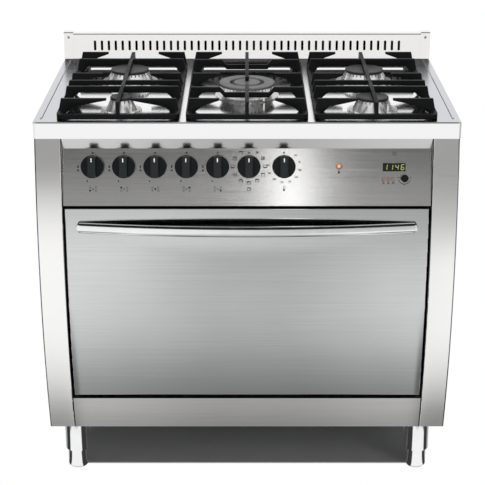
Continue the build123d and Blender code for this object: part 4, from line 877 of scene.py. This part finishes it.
windowSpots = [v.co for v in nodes["panel_lenses"].data.vertices if v.co.x > lensLook["split"]]
windowOut = max((spot - panelRow).dot(panelOut) for spot in windowSpots)
digits = printed("clock_digits", digitLoops("1146", windowX, digitShape["up"]), digitShape["thick"],
                 lambda x, up, out: onPanel(x, up, out + windowOut))
dress(digits, "clockDigits", "cabinet")
print("marks, numbers and clock digits placed")

# White pointer inlaid in the top of each bar grip
pointerLook = {"width": 2.2, "from": 11.5, "to": 17.2, "thick": 0.0002}
knobBodies = {f"gas_knob_{i}": x for i, x in enumerate(gasXs, start=1)}
knobBodies["function_knob"] = functionX
knobBodies["thermostat_knob"] = thermostatX
for body, x in knobBodies.items():
    top = max((v.co - panelRow).dot(panelOut) for v in nodes[body].data.vertices)
    loop = bar(x, pointerLook["from"], x, pointerLook["to"], pointerLook["width"])
    pointer = printed(f"{body}_pointer", loop, pointerLook["thick"],
                      lambda x, up, out: onPanel(x, up, out + top))
    dress(pointer, "pointerWhite", body)
print("pointers:", len(knobBodies))

# Stage: floor, white surround, lamps and camera
floorLook = {"half": 9.0, "paint": (0.80, 0.80, 0.80, 1), "underShadowPaint": (0.45, 0.45, 0.45, 1),
             "foot": (0.45, 0.30, 0.0), "side": (0.380, 0.415), "front": (0.186, 0.192), "rear": (0.28, 0.36),
             "left": ((0.0, 0.42), (0.10, 0.42), (0.155, 0.44), (0.225, 0.54), (0.325, 0.69), (0.42, 0.81),
                      (0.55, 0.92), (0.71, 0.98), (0.92, 1.0), (1.61, 1.0), (2.1, 0.97), (2.95, 0.88),
                      (8.6, 0.58)),
             "right": ((0.0, 0.36), (0.10, 0.36), (0.155, 0.39), (0.225, 0.51), (0.325, 0.65), (0.42, 0.79),
                       (0.55, 0.88), (0.71, 0.93), (0.92, 0.91), (1.25, 0.86), (1.61, 0.78), (2.1, 0.69),
                       (2.95, 0.60), (8.6, 0.42)),
             "turn": (-0.6, 0.6), "middle": (0.05, 0.55), "middleTone": 0.70, "middleReach": (1.5, 2.1),
             "beside": (0.384, 0.394), "widening": 0.347,
             "besideLeft": ((0.0, 0.18), (0.155, 0.22), (0.244, 0.27), (0.387, 0.40), (0.56, 0.69),
                            (0.71, 0.87), (0.92, 1.0), (1.61, 1.0), (2.1, 1.0), (2.95, 0.92), (8.6, 0.57)),
             "besideRight": ((0.0, 0.14), (0.155, 0.17), (0.244, 0.19), (0.387, 0.32), (0.56, 0.62),
                             (0.71, 0.83), (0.92, 1.0), (1.61, 0.96), (2.1, 0.77), (2.95, 0.54),
                             (8.6, 0.34)),
             "leg": (0.39285, -0.1925), "legReach": (0.118, 0.138), "legTone": 0.95, "legTurn": 12.0,
             "legLeast": 0.001,
             "flank": (0.54, 0.66), "flankTone": 0.04, "flankReach": (0.26, 0.32),
             "behind": (0.05, -0.25), "behindSide": (0.40, 0.44), "behindTone": 0.45}


def fadeOf(tree, value, start, end):
    node = addNode(tree, "ShaderNodeMapRange", Value=value, From_Min=start, From_Max=end)
    node.interpolation_type = "SMOOTHSTEP"
    return node.outputs["Result"]


def mirroredOnly(tree, path):
    # one for rays that metal or glass sends on, as long as no matt surface came before it
    shown = worked(tree, "MAXIMUM", path.outputs["Is Glossy Ray"], path.outputs["Is Transmission Ray"])
    return times(tree, shown, below(tree, path.outputs["Diffuse Depth"], 0.5))


def wallTone(tree, height, stops):
    return ramped(tree, height, [(place, (level,) * 3) for place, level in stops])


def makeFloor():
    look = floorLook
    mesh = bpy.data.meshes.new("floor")
    half = look["half"]
    corners = [(-half, -half, 0), (half, -half, 0), (half, half, 0), (-half, half, 0)]
    mesh.from_pydata(corners, [], [(0, 1, 2, 3)])
    floor = added("floor", mesh)
    finish = bpy.data.materials.new("floorPaint")
    finish.use_nodes = True
    tree = finish.node_tree
    tree.nodes.clear()
    output = tree.nodes.new("ShaderNodeOutputMaterial")
    paint = tree.nodes.new("ShaderNodeBsdfDiffuse")
    glow = addNode(tree, "ShaderNodeEmission", Strength=1.0)
    blend = tree.nodes.new("ShaderNodeMixShader")
    path = tree.nodes.new("ShaderNodeLightPath")
    across = offMiddle(tree)
    along = placeOf(tree, "Object", "Y")
    # only the floor under the stove keeps its shadow; round it the floor runs into the white surround
    outside = worked(tree, "MAXIMUM", fadeOf(tree, across, *look["side"]), fadeOf(tree, along, *look["rear"]))
    ahead = times(tree, along, -1.0)
    outside = worked(tree, "MAXIMUM", outside, fadeOf(tree, ahead, *look["front"]))
    # painted shadow: the floor under the stove is painted darker, deepening its shadow
    wire(tree, paint, Color=mixed(tree, outside, look["underShadowPaint"], look["paint"]))
    # in the steel the floor glows with painted light and shade: darker close to the stove, far away and
    # straight ahead
    reach = objectPlace(tree)
    steps = (("ABSOLUTE", None), ("SUBTRACT", look["foot"]), ("MAXIMUM", (0, 0, 0)), ("LENGTH", None))
    for operation, value in steps:
        reach = vectorWorked(tree, operation, reach, value)
    share = worked(tree, "DIVIDE", reach, worked(tree, "ADD", reach, 1.0))
    ramps = {side: wallTone(tree, share, [(r / (r + 1), level) for r, level in look[side]])
             for side in ("left", "right", "besideLeft", "besideRight")}
    turn = fadeOf(tree, placeOf(tree, "Object", "X"), *look["turn"])
    aside = worked(tree, "MAXIMUM", fadeOf(tree, across, *look["middle"]),
                   fadeOf(tree, reach, *look["middleReach"]))
    tone = times(tree, mixed(tree, turn, ramps["left"], ramps["right"]),
                 mixed(tree, aside, look["middleTone"], 1.0, "FLOAT"))
    # the strips of floor that the pillars mirror
    widening = worked(tree, "MULTIPLY_ADD", reach, look["widening"], 1.0)
    beside = fadeOf(tree, worked(tree, "DIVIDE", across, widening), *look["beside"])
    tone = mixed(tree, beside, tone, mixed(tree, turn, ramps["besideLeft"], ramps["besideRight"]))
    # painted light and shade close to each leg: pale in front of it, dark beside it, grey behind it
    outward = worked(tree, "SUBTRACT", across, look["leg"][0])
    forward = worked(tree, "SUBTRACT", look["leg"][1], along)
    length = lengthOf(tree, outward, forward)
    turned = math.radians(look["legTurn"])
    ahead = times(tree, forward, math.cos(turned))
    ahead = worked(tree, "MULTIPLY_ADD", outward, math.sin(turned), ahead)
    facing = worked(tree, "DIVIDE", ahead, worked(tree, "MAXIMUM", length, look["legLeast"]))
    front = fadeOf(tree, facing, *look["flank"])
    near = worked(tree, "SUBTRACT", 1.0, fadeOf(tree, reach, *look["legReach"]))
    tone = mixed(tree, times(tree, front, near), tone, look["legTone"], "FLOAT")
    behind = times(tree, fadeOf(tree, facing, *look["behind"]),
                   fadeOf(tree, across, *look["behindSide"]))
    close = mixed(tree, behind, look["flankTone"], look["behindTone"], "FLOAT")
    near = worked(tree, "SUBTRACT", 1.0, fadeOf(tree, length, *look["flankReach"]))
    dark = times(tree, worked(tree, "SUBTRACT", 1.0, front), near)
    tone = mixed(tree, dark, tone, close, "FLOAT")
    wire(tree, glow, Color=mixed(tree, path.outputs["Is Camera Ray"], tone, 1.0, "FLOAT"))
    shown = worked(tree, "MAXIMUM", path.outputs["Is Camera Ray"], mirroredOnly(tree, path))
    wire(tree, blend, Fac=times(tree, outside, shown))
    tree.links.new(paint.outputs["BSDF"], blend.inputs[1])
    tree.links.new(glow.outputs["Emission"], blend.inputs[2])
    tree.links.new(blend.outputs["Shader"], output.inputs["Surface"])
    mesh.materials.append(finish)


# the surround is white to the camera; steel mirrors it white behind the stove, and as a room with a
# pale wall and a dark ceiling in front of it
surroundLook = {"overhead": (0.80, 0.88), "overheadBack": (0.12, 0.30), "overheadTone": (0.50, 0.50, 0.50, 1),
                "turn": (-0.7, 0.15), "room": 0.12,
                "flank": (0.80, 0.93), "flankTone": (0.05, 0.05, 0.05, 1),
                "front": ((0.0, 0.32), (0.06, 0.36), (0.12, 0.40), (0.16, 0.36), (0.22, 0.24), (0.28, 0.15),
                          (0.42, 0.15), (0.52, 0.95), (0.76, 1.0), (0.82, 0.05)),
                "back": ((0.0, 1.0), (0.76, 1.0), (0.82, 0.05))}


def makeSurround():
    look = surroundLook
    world = bpy.data.worlds.new("surround")
    scene.world = world
    world.use_nodes = True
    tree = world.node_tree
    background = tree.nodes["Background"]
    turn = fadeOf(tree, placeOf(tree, "Generated", "Y"), *look["turn"])
    height = placeOf(tree, "Generated", "Z")
    walls = mixed(tree, turn, wallTone(tree, height, look["front"]), wallTone(tree, height, look["back"]))
    flank = fadeOf(tree, worked(tree, "ABSOLUTE", placeOf(tree, "Generated", "X")), *look["flank"])
    walls = mixed(tree, flank, walls, look["flankTone"])
    overhead = times(tree, fadeOf(tree, height, *look["overhead"]),
                     fadeOf(tree, placeOf(tree, "Generated", "Y"), *look["overheadBack"]))
    walls = mixed(tree, overhead, walls, look["overheadTone"])
    path = tree.nodes.new("ShaderNodeLightPath")
    room = mixed(tree, mirroredOnly(tree, path), (look["room"],) * 3 + (1,), walls)
    wire(tree, background, Color=mixed(tree, path.outputs["Is Camera Ray"], room, (1, 1, 1, 1)), Strength=1.0)


lamps = {
    "keyBox": {"at": (-0.20, -1.4, 3.0), "aim": (0.0, -0.2, 0.2), "size": (0.40, 0.30), "watts": 80},
    "fillBox": {"at": (1.9, -2.2, 1.9), "aim": (0.0, 0.0, 0.5), "size": (1.2, 1.2), "watts": 9},
    "stripBox": {"at": (0.185, -3.3, 1.25), "aim": (0.09, -0.26, 0.75), "size": (0.16, 1.5), "watts": 1.55},
}


def makeLamps():
    for name, lamp in lamps.items():
        data = bpy.data.lights.new(name, "AREA")
        data.shape = "RECTANGLE"
        data.size, data.size_y = lamp["size"]
        data.energy = lamp["watts"]
        holder = added(name, data)
        holder.location = lamp["at"]
        holder.rotation_euler = (Vector(lamp["aim"]) - Vector(lamp["at"])).to_track_quat("-Z", "Y").to_euler()
        # the steel mirrors the surround; of the lamps it mirrors only the strip
        holder.visible_glossy = name == "stripBox"


cameraLook = {"at": (-0.0003, -3.1421, 1.6670), "tilt": 19.52, "lens": 105.87, "sensor": 36,
              "shift": (-0.009, -0.06)}


def makeCamera():
    data = bpy.data.cameras.new("camera")
    data.lens = cameraLook["lens"]
    data.sensor_width = cameraLook["sensor"]
    data.shift_x, data.shift_y = cameraLook["shift"]
    camera = added("camera", data)
    camera.location = cameraLook["at"]
    camera.rotation_euler = (math.radians(90 - cameraLook["tilt"]), 0, 0)
    scene.camera = camera


makeFloor()
makeSurround()
makeLamps()
makeCamera()
scene.view_settings.view_transform = "Standard"
print("stage: floor, surround,", len(lamps), "lamps, camera")
